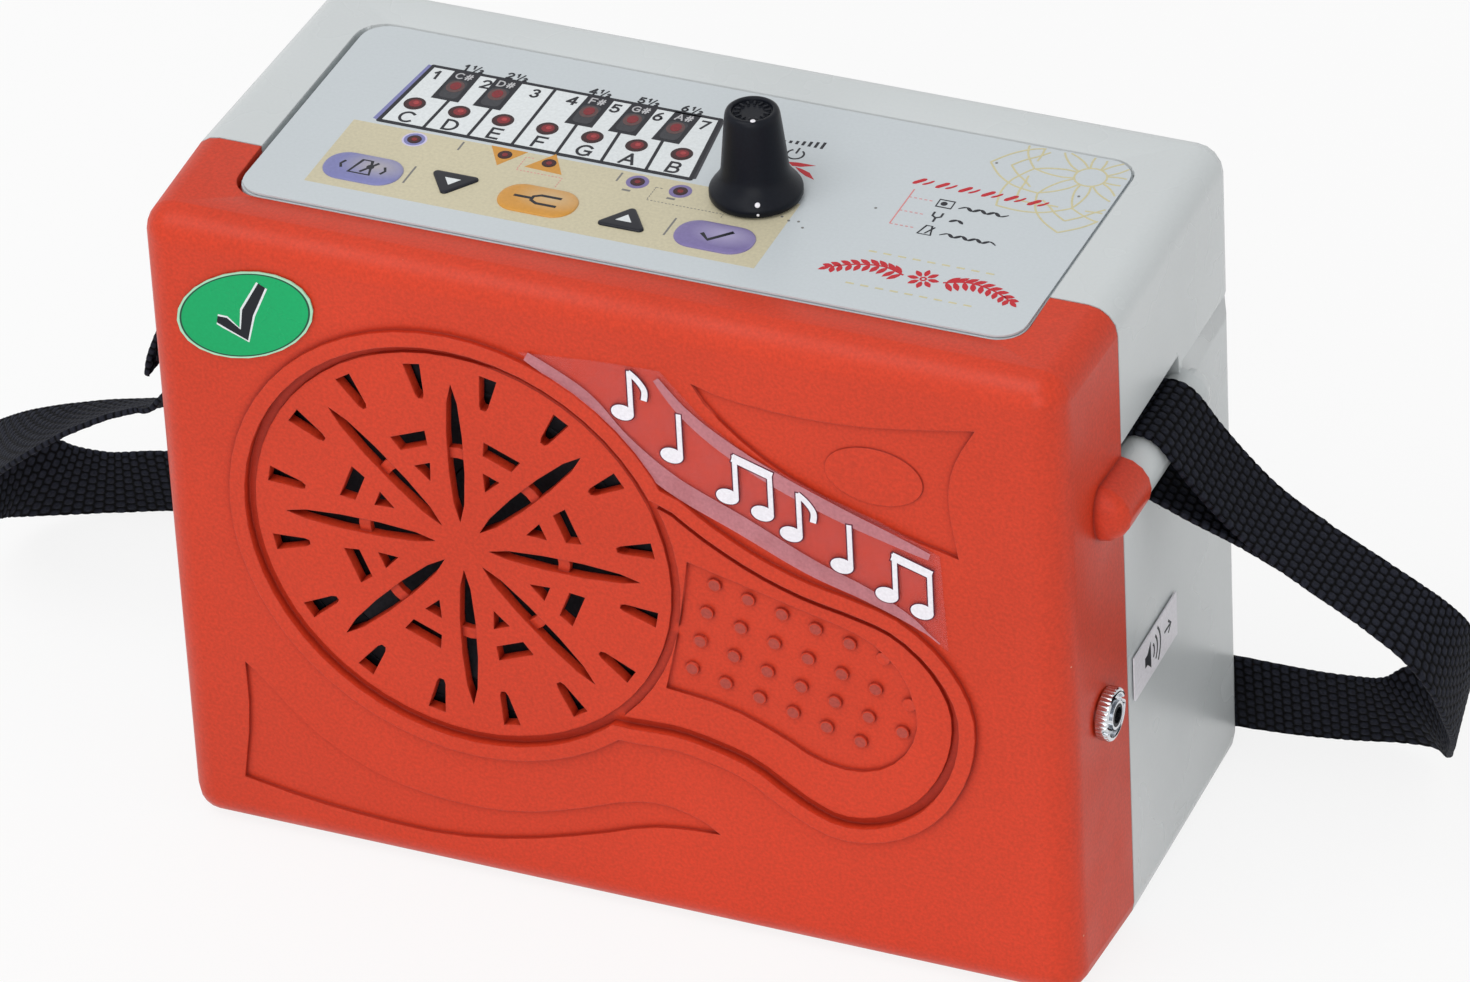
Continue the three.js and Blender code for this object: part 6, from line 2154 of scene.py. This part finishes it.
    def build(self) -> None:
        """Weaves the strap, sews its ends and lays it on its bars."""
        frames = self.frames(self.rows)
        section = self.section()
        count = len(section)
        far = [0.0]
        for before, after in zip(frames, frames[1:]):
            far.append(far[-1] + (after[0] - before[0]).length)
        points, faces, flow = [], [], []
        across = [(a + self.flat) / FLOW_UNIT for a, _, _ in section]
        for (centre, _, aside, up), run in zip(frames, far):
            wave = self.ripple * abs(math.sin(run / MM * math.pi / self.brick)) ** 0.6 - self.ripple / 2
            for a, b, face in section:
                edge = a + (wave if a > self.ripple_from else -wave if a < -self.ripple_from else 0.0)
                depth = b - face * self.relief * self.woven(a, face, run / MM)
                points.append(centre + aside * (edge * MM) + up * (depth * MM))
        for i in range(len(frames) - 1):
            for k in range(count):
                n = (k + 1) % count
                faces.append((i * count + k, i * count + n, (i + 1) * count + n, (i + 1) * count + k))
                flow += [(across[c], far[row]) for c, row in ((k, i), (n, i), (n, i + 1), (k, i + 1))]
        faces.append(tuple(reversed(range(count))))
        faces.append(tuple(range(len(points) - count, len(points))))
        flow += [(u, far[0]) for u in reversed(across)] + [(u, far[-1]) for u in across]
        mesh = bpy.data.meshes.new("carrying_strap_webbing")
        mesh.from_pydata(points, [], faces)
        layer = mesh.uv_layers.new(name="flow")
        for item, uv in zip(layer.data, flow):
            item.uv = uv
        strap = bpy.data.objects.new("carrying_strap_webbing", mesh)
        bpy.context.scene.collection.objects.link(strap)
        edit(strap)
        bpy.ops.mesh.normals_make_consistent(inside=False)
        rest()
        smooth(strap, 50)
        self.finishes.fit(strap, Finish.WEBBING, CASE, "strap_fabric", "carrying_strap")
        stitches = self.stitches(far)
        log.info("strap length %.1f mm", far[-1] / MM)

    def stitches(self, far: Sequence[float]) -> Piece:
        """Sews a box with a cross through each doubled end.

        Args:
            far: The distance along the strap of each row of its weave, in metres.

        Returns:
            The stitches.
        """
        frames = self.frames(self.rows)
        made = []

        def stitch(run: float, offset: float, lean: float, side: int) -> None:
            """Sets one stitch.

            Args:
                run: Its place along the strap.
                offset: Its place across it.
                lean: Its turn on the strap.
                side: The face that it is on, 1 or -1.
            """
            i = min(range(len(far)), key=lambda k: abs(far[k] - run * MM))
            centre, along, across, up = frames[i]
            rest()
            bpy.ops.mesh.primitive_uv_sphere_add(segments=8, ring_count=6, radius=MM)
            thread = current()
            basis = Matrix((along, across, up)).transposed().to_4x4()
            turn = Matrix.Rotation(lean, 4, "Z")
            spot = centre + across * (offset * MM) + up * (side * (self.thickness / 2 + 0.03) * MM)
            thread.matrix_world = Matrix.Translation(spot) @ basis @ turn @ Matrix.Diagonal(
                Vector((*self.stitch_size, 1.0)))
            settle(thread)
            made.append(thread)

        total = far[-1] / MM
        low, high = self.seam
        half, steps = self.seam_half, self.seam_steps
        for start, end, side in ((low, high, -1), (total - high, total - low, 1)):
            lean = math.atan2(2 * half, end - start)
            for k in range(steps):
                run = start + (end - start) * (k + 0.5) / steps
                offset = 2 * half * (k + 0.5) / steps - half
                stitch(run, -half, 0.0, side)
                stitch(run, half, 0.0, side)
                stitch(run, offset, lean, side)
                stitch(run, -offset, -lean, side)
                stitch(start, offset, math.pi / 2, side)
                stitch(end, offset, math.pi / 2, side)
        piece = joined(made, "carrying_strap_stitches")
        smooth(piece, 60)
        return self.finishes.fit(piece, Finish.THREAD, CASE, "strap_fabric")


@dataclass
class Studio:
    """The camera, the lamps, the world and the floor."""

    azimuth: float = 24.74
    elevation: float = 34.31
    roll: float = -3.16
    reach: float = 1960.79
    target: Size = (29.6, 0.0, 110.62)
    lens: float = 243.25
    sensor: float = 36.0
    # How bright the world is as a lamp, the floor's side in metres, how far it lies below the object,
    # and how much of it shows as plain white.
    ambience: float = 0.56
    floor_size: float = 8.0
    floor_drop: float = 0.2
    floor_glow: float = 0.85

    def build(self) -> None:
        """Sets up the studio."""
        self.camera()
        self.lamps()
        self.world()
        self.floor()

    def camera(self) -> None:
        """Places the camera at the photograph's view."""
        a, e, roll = (math.radians(v) for v in (self.azimuth, self.elevation, self.roll))
        back = Vector((math.sin(a) * math.cos(e), -math.cos(a) * math.cos(e), math.sin(e)))
        target = place(*self.target)
        right = (-back).cross(Vector((0, 0, 1))).normalized()
        up = right.cross(-back)
        side = right * math.cos(roll) + up * math.sin(roll)
        top = up * math.cos(roll) - right * math.sin(roll)
        rest()
        bpy.ops.object.camera_add()
        camera = current()
        camera.name = "photo_view"
        camera.matrix_world = Matrix.Translation(target + back * (self.reach * MM)) @ Matrix(
            (side, top, back)).transposed().to_4x4()
        camera.data.lens = self.lens
        camera.data.sensor_width = self.sensor
        camera.data.clip_start = 0.05
        camera.data.clip_end = 50.0
        bpy.context.scene.camera = camera

    @staticmethod
    def lamps() -> None:
        """Adds a large soft key lamp and two soft fills."""
        for name, at, size, power in (
                ("key_lamp", (-0.5, -0.9, 1.9), 1.4, 15.0),
                ("front_lamp", (0.5, -2.0, 0.9), 1.6, 12.0),
                ("side_lamp", (1.9, 0.3, 1.0), 1.2, 0.9)):
            rest()
            bpy.ops.object.light_add(type="AREA", location=at)
            lamp = current()
            lamp.name = name
            lamp.data.size = size
            lamp.data.energy = power
            lamp.rotation_euler = (Vector((0, 0, 0.08)) - Vector(at)).to_track_quat("-Z", "Y").to_euler()

    @staticmethod
    def seen(weave: Weaver) -> Socket:
        """Tells the rays that show a thing to the camera, straight, mirrored or through film."""
        path = weave.node("ShaderNodeLightPath")
        direct = weave.math("MAXIMUM", path.outputs["Is Camera Ray"], path.outputs["Is Glossy Ray"])
        return weave.math("MAXIMUM", direct, path.outputs["Is Transmission Ray"])

    def world(self) -> None:
        """Lights the scene evenly, and shows white behind it."""
        world = bpy.data.worlds.new("studio")
        bpy.context.scene.world = world
        world.use_nodes = True
        weave = Weaver(world.node_tree)
        plain = next(n for n in world.node_tree.nodes if n.type == "BACKGROUND")
        plain.inputs["Color"].default_value = (1.0, 1.0, 1.0, 1.0)
        plain.inputs["Strength"].default_value = self.ambience
        white = weave.node("ShaderNodeBackground")
        white.inputs["Color"].default_value = (1.0, 1.0, 1.0, 1.0)
        white.inputs["Strength"].default_value = 1.0
        seen = self.seen(weave)
        mix = weave.node("ShaderNodeMixShader")
        weave.feed(seen, mix.inputs[0])
        weave.feed(plain.outputs[0], mix.inputs[1])
        weave.feed(white.outputs[0], mix.inputs[2])
        out = next(n for n in world.node_tree.nodes if n.type == "OUTPUT_WORLD")
        weave.feed(mix.outputs[0], out.inputs["Surface"])

    def floor(self) -> None:
        """Lays a plain pale floor that keeps the object's shadow."""
        rest()
        bpy.ops.mesh.primitive_plane_add(size=self.floor_size, location=(0, 0, -self.floor_drop * MM))
        floor = current()
        floor.name = "studio_floor"
        weave = SurfaceWeaver("pale_floor")
        weave.on(Base_Color=(0.88, 0.88, 0.88, 1.0), Roughness=0.9)
        glow = weave.node("ShaderNodeEmission")
        glow.inputs["Color"].default_value = (1.0, 1.0, 1.0, 1.0)
        seen = self.seen(weave)
        mix = weave.node("ShaderNodeMixShader")
        weave.feed(weave.math("MULTIPLY", seen, self.floor_glow), mix.inputs[0])
        weave.feed(weave.shader.outputs[0], mix.inputs[1])
        weave.feed(glow.outputs[0], mix.inputs[2])
        out = next(n for n in weave.tree.nodes if n.type == "OUTPUT_MATERIAL")
        weave.feed(mix.outputs[0], out.inputs["Surface"])
        floor.data.materials.append(weave.surface)


def main() -> None:
    """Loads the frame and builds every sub-assembly in order."""
    logging.basicConfig(level=logging.INFO, format="%(message)s")
    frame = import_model()
    bpy.context.scene.view_settings.view_transform = "Standard"
    nodes = frame["nodes"]
    finishes = Finishes()
    steps: list[Callable[[], None]] = [
        Studio().build,
        Case(nodes, finishes).build,
        Label(finishes).build,
        KeyRow(finishes).build,
        VolumeKnob(finishes).build,
        JackNut(finishes).build,
        Stickers(finishes).build,
        CarryingStrap(finishes).build,
        Innards(nodes, finishes).build,
    ]
    for step in steps:
        step()
    rest()


if __name__ == "__main__":
    main()
